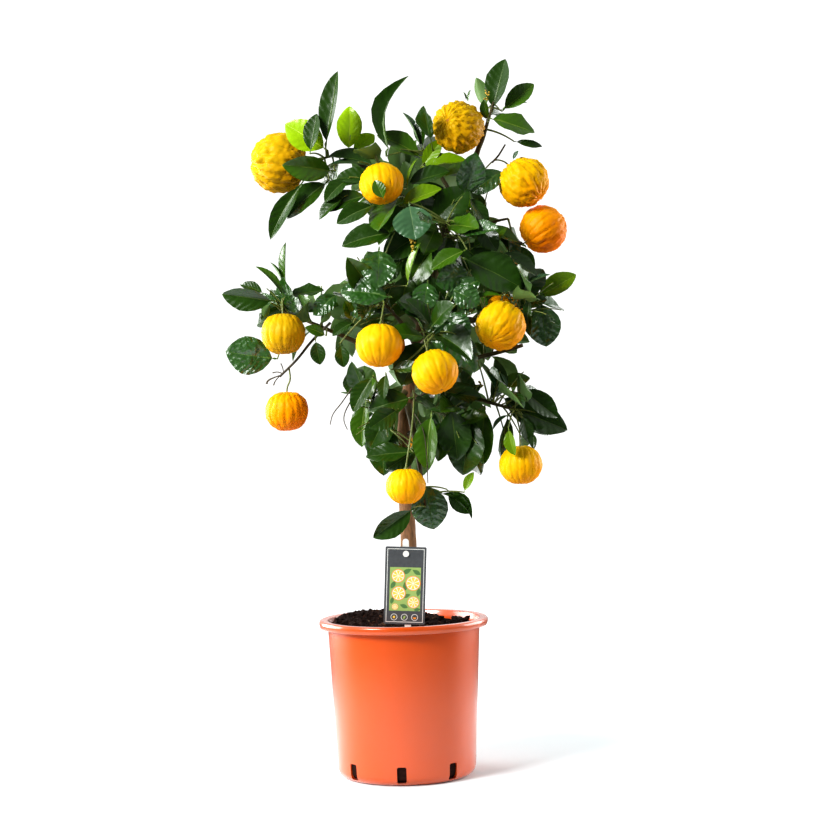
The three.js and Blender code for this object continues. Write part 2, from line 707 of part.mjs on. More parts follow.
// Every mass's stem, fruit and stalks come first, then the leaves of the outline.
MASSES.forEach((mass, index) => {
  mass.index = index;
  mass.random = randomFrom(GROWTH_SEED + SEED_STEP * index);
  mass.blades = [];
  const gap = CLEARANCE / mass.limb.getLength();
  mass.stem = stretch(mass.limb, mass.height === Infinity ? 0 : mass.enters + gap, 1);
  if (mass.height === Infinity) mass.stem.v0.addScaledVector(trunkCurve.getTangent(1), CLEARANCE);
  mass.pieces = [tube(mass.stem, taper(STEM_RADIUS, STEM_TIP_RADIUS), STEM_SIDES, STEM_STEPS)];
  for (const fruit of mass.fruits) {
    const { centre, radius, way } = fruit;
    const pole = radius * FRUIT_FLATTENED * (1 - FRUIT_DIMPLE);
    const end = centre.clone().addScaledVector(way, STALK_SUNK - pole);
    const start = nearestOnStem(mass, end);
    const lead = end.clone().addScaledVector(way, -STALK_HANG * end.distanceTo(start));
    const stalk = new THREE.QuadraticBezierCurve3(start, lead, end);
    mass.pieces.push(fruitSolid(fruit), tube(stalk, () => STALK_RADIUS, TWIG_SIDES, STALK_STEPS));
  }
});
for (const leaf of OUTLINE_LEAVES) {
  const [rootX, rootZ, tipX, tipZ, y] = leaf;
  addOutlineLeaf(MASSES[nearestSite(point((rootX + tipX) / 2, y, (rootZ + tipZ) / 2))], leaf);
}

// The rest of a mass's leaves spiral up its stem, as long as there is room for.
for (const mass of MASSES) {
  const { index, random, stem, fill } = mass;
  for (let k = 0; k < fill; k += 1) {
    const share = (k + 0.5) / fill;
    const forward = Math.min(FILL_LEAF.forward - FILL_LEAF.back * share + 0.2 * (random() - 0.5), 0.98);
    const angle = k * GOLDEN_ANGLE + index + 0.5 * random();
    const length = mass.leaf * (FILL_LEAF.least + FILL_LEAF.spread * random());
    const root = stem.getPoint(1 - FILL_LEAF.along * share);
    const way = spiralWay(stem.getTangent(1 - share), angle, forward);
    way.addScaledVector(outwards(root), FILL_LEAF.outwards).normalize();
    const room = Math.max(spaceAlong(index, root, way) - SHY, length * SHORTEST_LEAF);
    addLeaf(mass, root.addScaledVector(way, LEAF_ROOT), way, Math.min(length, room), leafFacing(root));
  }
}

// A mass as one solid: what its pieces fuse to, without loose scraps.
function massSolid({ pieces }) {
  const bodies = wasm.Manifold.union(pieces).simplify(SMOOTHED).decompose();
  return bodies.reduce((largest, body) => (body.volume() > largest.volume() ? body : largest));
}

const tree = new THREE.Group();
tree.add(node("pot", potSolid(), PLASTIC));
tree.add(node("soil", soilSolid(stakeBar(CLEARANCE)), COMPOST));
tree.add(node("label_card", cardSolid(), CARD_FINISH));
tree.add(node("label_stake", stakeSolid(), STAKE_FINISH));
tree.add(node("trunk", trunk, BARK));
const trunkGrown = trunkSolid(CLEARANCE);
for (const { name, made } of boughs) tree.add(node(name, made.subtract(trunkGrown), BARK));
for (const mass of MASSES) tree.add(node(`foliage_${mass.name}`, massSolid(mass), FOLIAGE));

export default tree;
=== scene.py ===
"""A potted bitter orange tree with ribbed fruit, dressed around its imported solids.

Metres, +Z up, the front towards -Y. Pot and compost come first, then the label, the wood, the fruit and
the leaves, in the order in which the tree is put together.
"""

import json
import math

import bmesh
import bpy
import numpy as np
from mathutils import Matrix, Vector, noise
from mathutils.bvhtree import BVHTree

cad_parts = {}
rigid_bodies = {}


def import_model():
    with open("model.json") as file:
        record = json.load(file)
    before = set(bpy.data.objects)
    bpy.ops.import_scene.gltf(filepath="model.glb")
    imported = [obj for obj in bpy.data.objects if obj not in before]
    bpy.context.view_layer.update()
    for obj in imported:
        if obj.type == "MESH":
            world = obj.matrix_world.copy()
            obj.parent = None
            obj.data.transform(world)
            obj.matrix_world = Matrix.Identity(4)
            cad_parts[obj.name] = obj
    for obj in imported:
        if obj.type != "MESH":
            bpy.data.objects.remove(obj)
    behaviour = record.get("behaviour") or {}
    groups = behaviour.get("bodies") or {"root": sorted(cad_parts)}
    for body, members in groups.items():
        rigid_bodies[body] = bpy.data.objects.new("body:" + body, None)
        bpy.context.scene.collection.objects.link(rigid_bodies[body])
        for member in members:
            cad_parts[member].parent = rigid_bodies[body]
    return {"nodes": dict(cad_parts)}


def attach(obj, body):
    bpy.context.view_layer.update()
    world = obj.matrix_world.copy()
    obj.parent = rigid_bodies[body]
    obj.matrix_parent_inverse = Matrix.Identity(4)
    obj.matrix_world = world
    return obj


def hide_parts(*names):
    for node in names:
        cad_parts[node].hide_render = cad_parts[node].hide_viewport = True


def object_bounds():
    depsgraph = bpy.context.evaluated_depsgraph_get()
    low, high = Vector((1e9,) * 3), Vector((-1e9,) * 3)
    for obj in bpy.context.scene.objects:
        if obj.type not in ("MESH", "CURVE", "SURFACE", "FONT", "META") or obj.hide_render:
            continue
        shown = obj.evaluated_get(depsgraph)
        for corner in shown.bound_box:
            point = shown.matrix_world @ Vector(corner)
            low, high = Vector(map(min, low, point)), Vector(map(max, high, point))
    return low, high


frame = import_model()
cad_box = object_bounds()

# Camera
# The photograph is taken from 2.5 m away with a long lens, just above the middle of the tree, held a
# little askew, so that the tree leans to the left in the picture.
CAMERA_AT = (0.028, -2.5, 0.486)
CAMERA_DOWN = math.radians(0.56)
CAMERA_ROLL = math.radians(1.455)
LENS = 82.1
SENSOR_WIDTH = 36


def put(name, data):
    """A new object in the scene."""
    made = bpy.data.objects.new(name, data)
    bpy.context.scene.collection.objects.link(made)
    return made


camera = put("camera", bpy.data.cameras.new("camera"))
camera.data.lens = LENS
camera.data.sensor_width = SENSOR_WIDTH
camera.matrix_world = (
    Matrix.Translation(CAMERA_AT)
    @ Matrix.Rotation(math.pi / 2 - CAMERA_DOWN, 4, "X")
    @ Matrix.Rotation(-CAMERA_ROLL, 4, "Z")
)
bpy.context.scene.camera = camera
bpy.context.scene.view_settings.view_transform = "Standard"
bpy.context.scene.view_settings.look = "Medium High Contrast"


# Studio
# A seamless pale sheet runs under the pot. A large soft box stands at the upper left, tall ones to both
# sides and one behind. The sheet glows a little, so that only the pot's own shade shows on it. Far from the
# pot it is dark grey to all but the camera: painted shade for the pot's reflections and the bounce light.
class Socket:
    """One output in a tree of nodes. Sums on it add Math nodes."""

    def __init__(self, nodes, output):
        self.nodes = nodes
        self.output = output

    def math(self, operation, first, second):
        return self.nodes.add("ShaderNodeMath", {"operation": operation}, {0: first, 1: second})

    def __add__(self, other):
        return self.math("ADD", self, other)

    def __sub__(self, other):
        return self.math("SUBTRACT", self, other)

    def __rsub__(self, other):
        return self.math("SUBTRACT", other, self)

    def __mul__(self, other):
        return self.math("MULTIPLY", self, other)

    __radd__ = __add__
    __rmul__ = __mul__


class Nodes:
    """A tree of nodes. Every node comes in by add, with its settings set before its sockets."""

    def __init__(self, tree):
        self.tree = tree

    def add(self, kind, settings=None, sockets=None, output=0):
        node = self.tree.nodes.new(kind)
        for name, value in (settings or {}).items():
            setattr(node, name, value)
        for name, value in (sockets or {}).items():
            self.plug(node.inputs[name], value)
        return Socket(self, node.outputs[output])

    def plug(self, socket, value):
        if isinstance(value, Socket):
            self.tree.links.new(value.output, socket)
        else:
            socket.default_value = value

    def mix(self, factor, first, second):
        """A blend of two colours."""
        return self.add("ShaderNodeMix", {"data_type": "RGBA"}, {0: factor, 6: first, 7: second}, 2)

    def grain(self, scale, detail, stretch=(1, 1, 1)):
        """Noise from 0 to 1 on the piece's own coordinates; stretch makes it longer along an axis."""
        place = self.add("ShaderNodeTexCoord", output="Object")
        size = tuple(1 / s for s in stretch)
        place = self.add("ShaderNodeMapping", sockets={"Vector": place, "Scale": size})
        return self.add("ShaderNodeTexNoise", sockets={"Vector": place, "Scale": scale, "Detail": detail})

    def mottle(self, scale, detail, first, second):
        """Two colours, as the screen shows them, blended by noise."""
        return self.mix(self.grain(scale, detail), srgb(*first), srgb(*second))


class Finish(Nodes):
    """A material on the standard shader."""

    def __init__(self, name, sockets=None):
        self.material = bpy.data.materials.new(name)
        self.material.use_nodes = True
        super().__init__(self.material.node_tree)
        self.shader = self.tree.nodes["Principled BSDF"]
        self.feed(sockets or {})

    def feed(self, sockets):
        for name, value in sockets.items():
            self.plug(self.shader.inputs[name], value)

    def bump(self, height, depth, strength=1.0):
        """Fine relief, depth in metres."""
        sockets = {"Height": height, "Distance": depth, "Strength": strength}
        self.feed({"Normal": self.add("ShaderNodeBump", sockets=sockets)})


def srgb(red, green, blue):
    """A colour as the screen shows it, from 0 to 255, for a shader."""
    shares = (red / 255, green / 255, blue / 255)
    return (*[c / 12.92 if c < 0.04045 else ((c + 0.055) / 1.055) ** 2.4 for c in shares], 1.0)


SHEET_SIZE = 14.0
SHEET_GREY = srgb(222, 230, 232)
SHEET_FAR_PAINTED_SHADE = srgb(70, 70, 70)
SHEET_GLOW = 1.1
# How far from the pot the sheet's own grey gives way to a dark grey, painted shade that only reflections and
# bounce light see, and how far its glow, which only the camera sees, comes up.
SHEET_FALLS = (0.38, 0.95)
SHEET_CLEARS = (0.4, 1.05)
ROOM_DIM = 0.06
ROOM_SIDES = 0.9
ROOM_BACK = 0.4
ROOM_TOP = 0.15
SOFT_BOXES = {
    "key": {"at": (-1.75, -1.6, 1.7), "size": 0.9, "power": 92},
    "left": {"at": (-1.45, 0.7, 0.45), "size": 1.4, "power": 46},
    "right": {"at": (1.6, 0.6, 0.5), "size": 1.4, "power": 30},
    "back": {"at": (0.3, 2.2, 1.7), "size": 1.4, "power": 8},
}
TREE_MIDDLE = Vector((0, 0, 0.5))


def new_piece(name, verts, faces, finishes=(), smooth=True, slots=None):
    """A mesh object at the origin. slots gives each face's place in the list of finishes."""
    mesh = bpy.data.meshes.new(name)
    mesh.from_pydata([tuple(v) for v in verts], [], [tuple(f) for f in faces])
    for finish in finishes:
        mesh.materials.append(finish.material)
    mesh.polygons.foreach_set("use_smooth", [smooth] * len(mesh.polygons))
    if slots is not None:
        mesh.polygons.foreach_set("material_index", slots)
    mesh.update()
    return put(name, mesh)


half = SHEET_SIZE / 2
sheet_finish = Finish("studio_sheet", {"Roughness": 0.9, "Specular IOR Level": 0.0})
sheet_seen = sheet_finish.add("ShaderNodeLightPath", output="Is Camera Ray")
from_pot = sheet_finish.add("ShaderNodeVectorMath", {"operation": "LENGTH"}, {
    0: sheet_finish.add("ShaderNodeTexCoord", output="Object"),
}, "Value")
glow, far = (
    sheet_finish.add("ShaderNodeMapRange", {"interpolation_type": "SMOOTHSTEP"}, {
        "Value": from_pot, "From Min": start, "From Max": end,
    })
    for start, end in (SHEET_CLEARS, SHEET_FALLS)
)
sheet_finish.feed({
    "Base Color": sheet_finish.mix(far, SHEET_GREY, SHEET_FAR_PAINTED_SHADE),
    "Emission Color": sheet_finish.mix(sheet_seen * glow, srgb(0, 0, 0), srgb(255, 255, 255)),
    "Emission Strength": SHEET_GLOW,
})
sheet_corners = [(-half, -half, 0), (half, -half, 0), (half, half, 0), (-half, half, 0)]
new_piece("studio_sheet", sheet_corners, [(0, 1, 2, 3)], [sheet_finish])

world = bpy.data.worlds.new("studio")
world.use_nodes = True
bpy.context.scene.world = world
studio = Nodes(world.node_tree)
seen = studio.add("ShaderNodeLightPath", output="Is Camera Ray")
way = studio.add("ShaderNodeTexCoord", output="Generated")
way_x, way_y, way_z = (studio.add("ShaderNodeSeparateXYZ", sockets={0: way}, output=axis) for axis in "XYZ")
walls = way_x * way_x * ROOM_SIDES + way_y.math("MAXIMUM", way_y, 0.0) * ROOM_BACK
room = walls + way_z.math("MAXIMUM", way_z, 0.0) * ROOM_TOP + ROOM_DIM
world_light = world.node_tree.nodes["Background"]
studio.plug(world_light.inputs["Color"], (1, 1, 1, 1))
studio.plug(world_light.inputs["Strength"], seen + (1 - seen) * room)

for name, box in SOFT_BOXES.items():
    light = bpy.data.lights.new(name, "AREA")
    light.size = box["size"]
    light.energy = box["power"]
    lamp = put(name, light)
    lamp.location = box["at"]
    lamp.visible_camera = False
    lamp.rotation_euler = (TREE_MIDDLE - lamp.location).to_track_quat("-Z", "Y").to_euler()


# Pot
# An injection-moulded nursery container in glossy terracotta plastic, 22 cm across its rolled lip and
# 204 mm tall, with eight drain slots cut through wall and floor round the foot.
MM = 0.001
POT_HEIGHT = 204 * MM
POT_FOOT_RADIUS = 90 * MM
POT_CORNER = 12 * MM
POT_WALL = 2.2 * MM
POT_FLOOR = 4 * MM
POT_MOUTH_RADIUS = 99 * MM
LIP_RADIUS = 110 * MM
LIP_DEPTH = 10 * MM
LIP_LOW = POT_HEIGHT - LIP_DEPTH
LIP_ROLL = 3.2 * MM
LIP_FILLET = 1 * MM
LIP_EDGE = 1.2 * MM
LIP_EDGE_INSET = 2.2 * MM
LIP_WIDEST = 4.5 * MM
LIP_DISH = 0.3 * MM
MOUTH_EDGE = 1.7 * MM
MOUTH_EDGE_INSET = 1 * MM
MOUTH_EDGE_DROP = 2 * MM
FOOT_FLAT = 0.6 * POT_FOOT_RADIUS
POT_CREASE = math.radians(40)
SLOTS = 8
SLOT_WIDTH = 12 * MM
SLOT_LOW = 4 * MM
SLOT_HIGH = 25 * MM
SLOT_TURN = math.radians(-4)
SLOT_CORNER = 1 * MM
POT_SEGMENTS = 192
POT_COLOURS = ((210, 82, 0), (198, 72, 0))


def wall_radius(height):
    share = (height - POT_CORNER) / (LIP_LOW - POT_CORNER)
    return POT_FOOT_RADIUS + (POT_MOUTH_RADIUS - POT_FOOT_RADIUS) * share


def arc(centre, radius, start, end, steps):
    """Points of an arc in a profile of radii and heights, its angles in degrees."""
    angles = [math.radians(start + (end - start) * k / steps) for k in range(steps + 1)]
    return [(centre[0] + radius * math.cos(a), centre[1] + radius * math.sin(a)) for a in angles]


def ring_faces(rings, segments):
    """Faces between rings of points round an axis, closed by a first and a last point on it."""
    ring = [[1 + i * segments + k for k in range(segments)] for i in range(rings)]
    last = 1 + rings * segments
    pairs = [(k, (k + 1) % segments) for k in range(segments)]
    faces = [(0, ring[0][after], ring[0][k]) for k, after in pairs]
    for low, high in zip(ring, ring[1:]):
        faces += [(low[k], low[after], high[after], high[k]) for k, after in pairs]
    return faces + [(ring[-1][k], ring[-1][after], last) for k, after in pairs]


def lathe(name, profile, segments, finishes):
    """A profile turned about the upright axis, its ends on the axis, from the foot up the outside."""
    rings = profile[1:-1]
    turn = [2 * math.pi * k / segments for k in range(segments)]
    verts = [(0, 0, profile[0][1])]
    verts += [(r * math.cos(a), r * math.sin(a), z) for r, z in rings for a in turn]
    verts.append((0, 0, profile[-1][1]))
    return new_piece(name, verts, ring_faces(len(rings), segments), finishes)


def plain_mesh(made, name):
    """The object with its modifiers worked in, as a new plain piece; the old one goes."""
    depsgraph = bpy.context.evaluated_depsgraph_get()
    mesh = bpy.data.meshes.new_from_object(made.evaluated_get(depsgraph))
    bpy.data.objects.remove(made)
    mesh.name = name
    return put(name, mesh)


pot_plastic = Finish("pot_plastic", {
    "Coat Weight": 1.0, "Coat IOR": 1.62, "Coat Roughness": 0.2, "Specular IOR Level": 0.2,
    "Sheen Weight": 0.2, "Sheen Roughness": 0.4,
})
pot_plastic.feed({
    "Base Color": pot_plastic.mottle(9, 3, *POT_COLOURS),
    "Roughness": pot_plastic.grain(60, 3) * 0.08 + 0.3,
})
pot_plastic.bump(pot_plastic.grain(22, 2, (1, 1, 6)), 0.5 * MM, 0.35)

inner_corner = POT_CORNER - POT_WALL
inner_foot = POT_FOOT_RADIUS - POT_WALL
wall_top = wall_radius(LIP_LOW)
wall_end = LIP_LOW - LIP_FILLET
mouth = wall_radius(POT_HEIGHT)
inside_top = LIP_LOW - MOUTH_EDGE_DROP
pot_profile = [
    (0, 0),
    (FOOT_FLAT, 0),
    *arc((POT_FOOT_RADIUS - POT_CORNER, POT_CORNER), POT_CORNER, -90, 0, 8),
    *[(wall_radius(z), z) for z in np.linspace(POT_CORNER, wall_end, 14)[1:]],
    *arc((wall_top + LIP_FILLET, wall_end), LIP_FILLET, 180, 90, 3),
    *arc((LIP_RADIUS - LIP_EDGE_INSET, LIP_LOW + LIP_EDGE), LIP_EDGE, -90, -30, 3),
    (LIP_RADIUS, LIP_LOW + LIP_WIDEST),
    *arc((LIP_RADIUS - LIP_ROLL, POT_HEIGHT - LIP_ROLL), LIP_ROLL, 10, 90, 6),
    ((LIP_RADIUS + mouth) / 2, POT_HEIGHT - LIP_DISH),
    *arc((mouth + MOUTH_EDGE_INSET, POT_HEIGHT - MOUTH_EDGE_DROP), MOUTH_EDGE, 90, 160, 4),
    (wall_top - POT_WALL, inside_top),
    *[(wall_radius(z) - POT_WALL, z) for z in np.linspace(inside_top, POT_CORNER + POT_FLOOR, 6)[1:]],
    *arc((inner_foot - inner_corner, POT_FLOOR + inner_corner), inner_corner, 0, -90, 6),
    (0, POT_FLOOR),
]
pot = lathe("pot_shell", pot_profile, POT_SEGMENTS, [pot_plastic])

slot_tools = bmesh.new()
for k in range(SLOTS):
    size = Matrix.Diagonal((SLOT_WIDTH, 2 * POT_CORNER, SLOT_HIGH - SLOT_LOW, 1))
    place = Matrix.Translation((0, -POT_FOOT_RADIUS, (SLOT_HIGH + SLOT_LOW) / 2))
    turned = Matrix.Rotation(SLOT_TURN + 2 * math.pi * k / SLOTS, 4, "Z")
    bmesh.ops.create_cube(slot_tools, size=1, matrix=turned @ place @ size)
bmesh.ops.bevel(slot_tools, geom=slot_tools.edges[:], offset=SLOT_CORNER, segments=2, affect="EDGES")
cutter = new_piece("slot_tools", [], [])
slot_tools.to_mesh(cutter.data)
slot_tools.free()
cut = pot.modifiers.new("slots", "BOOLEAN")
cut.object = cutter
cut.solver = "EXACT"
pot = plain_mesh(pot, "pot_shell")
bpy.data.objects.remove(cutter)
pot.data.set_sharp_from_angle(angle=POT_CREASE)
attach(pot, "root")
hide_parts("pot")


# Compost
# Coarse bark compost fills the pot to 12 mm below its lip, a little higher at the back left, with a few
# clods lying on it and loose chips of bark over all of it. It shows in the drain slots too.
def random_from(seed):
    """The same stream of numbers from 0 to 1 for the same seed."""
    state = seed
    while True:
        state = (state * 16807) % 2147483647
        yield state / 2147483647


def between(ends, share):
    return ends[0] + (ends[1] - ends[0]) * share


SOIL_LEVEL = 192 * MM
SOIL_GAP = 0.3 * MM
SOIL_ROUGH = 2.2 * MM
SOIL_LUMPS = 95
SOIL_CALM = 6 * MM
SOIL_SIDE_ROUGH = 0.004
SOIL_COLOURS = ((22, 12, 10), (60, 36, 30))
SOIL_RINGS = 46
SOIL_SEGMENTS = 150
CLODS = 13
CLOD_SEED = 90210
CLOD_RADIUS = (9 * MM, 17 * MM)
CLOD_HEIGHT = (6 * MM, 13 * MM)
CLOD_SUNK = 1 * MM
CLOD_CRUMBLE = 0.35
CLOD_CRUMBS = 160
CLOD_ROUNDING = 0.4
SOIL_MOUND = 11 * MM
TRUNK_FOOT = Vector((8 * MM, 0, SOIL_LEVEL))
LABEL_PEG = Vector((6 * MM, -84 * MM, 294 * MM))
CLEAR_OF_TRUNK = 26 * MM
CLEAR_OF_LABEL = 38 * MM
CLEAR_OF_POT = 3 * MM
CHIP_MARGIN = 8.5 * MM
CHIP_DEPTH = 3 * MM
CHIP_SLOPE = 0.3
CHIP_JAG = 0.5
CHIP_TURNS = ((-0.7, -0.7, 0), (0.7, 0.7, 6.28))
CHIP_SIZES = ((0.4, 0.35, 0.25), (1.5, 0.9, 0.6))
CHIP_SHADE = (24, 18, 16)
CHIPS = {
    "dark": {"count": 800, "size": 5.8 * MM, "seed": 3, "colour": (40, 24, 20)},
    "brown": {"count": 420, "size": 3.4 * MM, "seed": 8, "colour": (96, 66, 48)},
    "pale": {"count": 90, "size": 2.4 * MM, "seed": 5, "colour": (150, 128, 104)},
}

soil_radius = wall_radius(SOIL_LEVEL) - POT_WALL - SOIL_GAP
clod_draw = random_from(CLOD_SEED)
clods = []
while len(clods) < CLODS:
    radius = between(CLOD_RADIUS, next(clod_draw))
    height = between(CLOD_HEIGHT, next(clod_draw))
    angle = 2 * math.pi * next(clod_draw)
    out = (POT_MOUTH_RADIUS - POT_WALL - SOIL_GAP - radius - CLEAR_OF_POT) * math.sqrt(next(clod_draw))
    place = Vector((out * math.cos(angle), out * math.sin(angle), SOIL_LEVEL))
    clear_of_trunk = (place - TRUNK_FOOT).length > CLEAR_OF_TRUNK + radius / 2
    if clear_of_trunk and (place - LABEL_PEG).xy.length > CLEAR_OF_LABEL:
        clods.append((place, radius, height))


def soil_height(x, y):
    """The compost's surface: the mound and fine unevenness, dying out at the wall, with the clods on it."""
    near_wall = min(1.0, (soil_radius - math.hypot(x, y)) / SOIL_CALM)
    rough = noise.fractal(Vector((x, y, 0)) * SOIL_LUMPS, 0.9, 2.1, 4) * SOIL_ROUGH
    mound = SOIL_MOUND * max(0, y - x) / soil_radius
    top = SOIL_LEVEL + rough * near_wall + mound * near_wall
    crumble = 1 + CLOD_CRUMBLE * noise.noise(Vector((x, y, 0.3)) * CLOD_CRUMBS)
    for place, radius, height in clods:
        share = 1 - ((x - place.x) ** 2 + (y - place.y) ** 2) / (radius * crumble) ** 2
        if share > 0:
            top = max(top, SOIL_LEVEL - CLOD_SUNK + height * crumble * share ** CLOD_ROUNDING)
    return top


compost = Finish("bark_compost", {"Roughness": 0.95, "Specular IOR Level": 0.08})
compost.feed({"Base Color": compost.mottle(260, 3, *SOIL_COLOURS)})
compost.bump(compost.grain(700, 3), 0.8 * MM)

soil_corner = (inner_foot - SOIL_GAP - inner_corner, POT_FLOOR + SOIL_GAP + inner_corner)
soil_profile = [
    (0, SOIL_GAP + POT_FLOOR),
    *arc(soil_corner, inner_corner, -90, 0, 5),
    *[(wall_radius(z) - POT_WALL - SOIL_GAP, z) for z in np.linspace(POT_CORNER + POT_FLOOR, SOIL_LEVEL, 8)],
    *[(soil_radius * (1 - k / SOIL_RINGS), SOIL_LEVEL) for k in range(1, SOIL_RINGS)],
    (0, SOIL_LEVEL),
]
soil = lathe("soil_bed", soil_profile, SOIL_SEGMENTS, [compost])
for vertex in soil.data.vertices:
    if vertex.co.z > SOIL_LEVEL - 0.1 * MM:
        vertex.co.z = soil_height(vertex.co.x, vertex.co.y)
    else:
        vertex.co.xy *= 1 - SOIL_SIDE_ROUGH * noise.noise(vertex.co * 120)


def node_group(name, sockets):
    """A Geometry Nodes tree with these named inputs, and its nodes, input and output."""
    group = bpy.data.node_groups.new(name, "GeometryNodeTree")
    group.interface.new_socket("Geometry", in_out="OUTPUT", socket_type="NodeSocketGeometry")
    group.interface.new_socket("Geometry", in_out="INPUT", socket_type="NodeSocketGeometry")
    for label, kind in sockets.items():
        group.interface.new_socket(label, in_out="INPUT", socket_type="NodeSocket" + kind)
    nodes = Nodes(group)
    entry = group.nodes.new("NodeGroupInput")
    inputs = {socket.name: Socket(nodes, socket) for socket in entry.outputs if socket.name}
    nodes.output = group.nodes.new("NodeGroupOutput")
    return group, nodes, inputs


def grown(made, group, values, name):
    """The piece that a Geometry Nodes tree makes of an object, as a plain mesh."""
    modifier = made.modifiers.new(group.name, "NODES")
    modifier.node_group = group
    for item in group.interface.items_tree:
        if item.in_out == "INPUT" and item.name in values:
            modifier[item.identifier] = values[item.name]
    return plain_mesh(made, name)


def chip_group():
    """Scatters turned, flattened and jagged chips over the upper faces."""
    sockets = {"Count": "Int", "Size": "Float", "Seed": "Int", "Chip": "Object", "Finish": "Material"}
    group, nodes, inputs = node_group("bark_chips", sockets)
    spread = nodes.add("GeometryNodeDistributePointsOnFaces", {"distribute_method": "RANDOM"}, {
        "Mesh": inputs["Geometry"],
        "Selection": upward(nodes),
        "Density": inputs["Count"] * (1 / (math.pi * soil_radius ** 2)),
        "Seed": inputs["Seed"],
    })
    turn = nodes.add("FunctionNodeRandomValue", {"data_type": "FLOAT_VECTOR"}, {
        "Min": CHIP_TURNS[0], "Max": CHIP_TURNS[1], "Seed": inputs["Seed"],
    })
    size = nodes.add("FunctionNodeRandomValue", {"data_type": "FLOAT_VECTOR"}, {
        "Min": CHIP_SIZES[0], "Max": CHIP_SIZES[1], "Seed": inputs["Seed"] + 1,
    })
    size = nodes.add("ShaderNodeVectorMath", {"operation": "SCALE"}, {0: size, 3: inputs["Size"]})
    chip = nodes.add("GeometryNodeObjectInfo", sockets={"Object": inputs["Chip"]}, output="Geometry")
    laid = nodes.add("GeometryNodeInstanceOnPoints", sockets={
        "Points": spread, "Instance": chip, "Rotation": turn, "Scale": size,
    })
    real = nodes.add("GeometryNodeRealizeInstances", sockets={"Geometry": laid})
    done = nodes.add("GeometryNodeSetMaterial", sockets={"Geometry": real, "Material": inputs["Finish"]})
    nodes.plug(nodes.output.inputs[0], done)
    return group


def upward(nodes):
    """True on faces that look up, near the compost's level and clear of the pot's wall."""
    normal = nodes.add("GeometryNodeInputNormal")
    height = nodes.add("ShaderNodeSeparateXYZ", sockets={0: normal}, output="Z")
    place = nodes.add("GeometryNodeInputPosition")
    level = nodes.add("ShaderNodeSeparateXYZ", sockets={0: place}, output="Z")
    centre = nodes.add("ShaderNodeCombineXYZ", sockets={2: level})
    out = nodes.add("ShaderNodeVectorMath", {"operation": "DISTANCE"}, {0: place, 1: centre}, "Value")
    steep, inside, high = (
        nodes.add("FunctionNodeCompare", {"operation": operation}, {0: value, 1: limit})
        for operation, value, limit in (
            ("GREATER_THAN", height, CHIP_SLOPE),
            ("LESS_THAN", out, soil_radius - CHIP_MARGIN),
            ("GREATER_THAN", level, SOIL_LEVEL - CHIP_DEPTH),
        )
    )
    high = nodes.add("FunctionNodeBooleanMath", {"operation": "AND"}, {0: high, 1: inside})
    return nodes.add("FunctionNodeBooleanMath", {"operation": "AND"}, {0: steep, 1: high})


rock = bmesh.new()
bmesh.ops.create_icosphere(rock, subdivisions=1, radius=1)
for vertex in rock.verts:
    vertex.co *= 1 + CHIP_JAG * noise.noise(vertex.co * 2.3)
chip_shape = new_piece("chip_shape", [], [])
rock.to_mesh(chip_shape.data)
rock.free()
scatter = chip_group()
for kind, chips in CHIPS.items():
    chip_finish = Finish("bark_chip_" + kind, {"Roughness": 0.85, "Specular IOR Level": 0.08})
    chip_finish.feed({"Base Color": chip_finish.mottle(300, 2, chips["colour"], CHIP_SHADE)})
    loose = grown(put("bed", soil.data), scatter, {
        "Count": chips["count"], "Size": chips["size"], "Seed": chips["seed"],
        "Chip": chip_shape, "Finish": chip_finish.material,
    }, "bark_chips_" + kind)
    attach(loose, "root")
bpy.data.objects.remove(chip_shape)
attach(soil, "root")
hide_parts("soil")


# Label
# A printed plastic card, 52 by 98 mm, hangs by its hole on the peg of a narrow white stake pushed into
# the compost. Its print is a pale rule round a picture of citrus slices and leaves, with three care signs.
CARD_WIDTH = 52 * MM
CARD_HEIGHT = 98 * MM
CARD_FRONT = 0.9 * MM
CARD_TOP = 9 * MM
CARD_TURN = math.radians(3)
CARD_COLOURS = ((66, 68, 70), (86, 88, 90))
STAKE_COLOURS = ((240, 240, 236), (222, 220, 212))
INK = 0.06 * MM
INK_SUNK = 0.02 * MM
INK_FADE = 0.12
FADED_INK = srgb(200, 205, 200)
RULE_INSET = 2.6 * MM
RULE_WIDTH = 0.7 * MM
PICTURE = (-19.5 * MM, -72 * MM, 19.5 * MM, -17 * MM)
SLICES = [(-9, -28, 8.5), (10, -37, 9.5), (-8, -50, 9.0), (11, -61, 7.5), (-12, -67, 4.0)]
LABEL_LEAVES = [
    (2, -22, 30, 13), (14, -23, 150, 12), (-15, -39, 60, 12), (0, -41, 100, 11), (17, -48, 80, 11),
    (2, -53, 20, 11), (-1, -66, 160, 11), (-16, -59, 75, 10), (16, -70, 10, 9),
]
SLICE_PITH = 0.88
SLICE_FLESH = 0.73
SEGMENTS = 8
SEGMENT_OUT = 0.07
SEGMENT_HALF = 0.33
PRINTED_LEAF_WIDTH = 0.24
CARE_SIGNS = (-13, 0, 13)
CARE_SIGN_HEIGHT = -80
CARE_SIGN_RADIUS = 4.2
CARE_SIGN_INNER = 0.84
SUN_RADIUS = 1.5
SPRIG = (60, 5.4)
BOWL_RADIUS = 2.2

card_place = (
    Matrix.Translation(LABEL_PEG) @ Matrix.Rotation(CARD_TURN, 4, "Y") @ Matrix.Rotation(math.pi / 2, 4, "X")
)
INKS = {
    "paper": srgb(236, 236, 230), "green": srgb(150, 178, 92), "leaf": srgb(70, 116, 48),
    "peel": srgb(246, 150, 20), "flesh": srgb(252, 206, 60), "charcoal": srgb(58, 60, 62),
}
inks = {}
for name, colour in INKS.items():
    finish = Finish("ink_" + name, {"Coat Weight": 0.4, "Coat Roughness": 0.2, "Roughness": 0.45})
    finish.feed({"Base Color": finish.mix(finish.grain(900, 2) * INK_FADE, colour, FADED_INK)})
    inks[name] = finish
print_verts, print_faces, print_slots = [], [], []


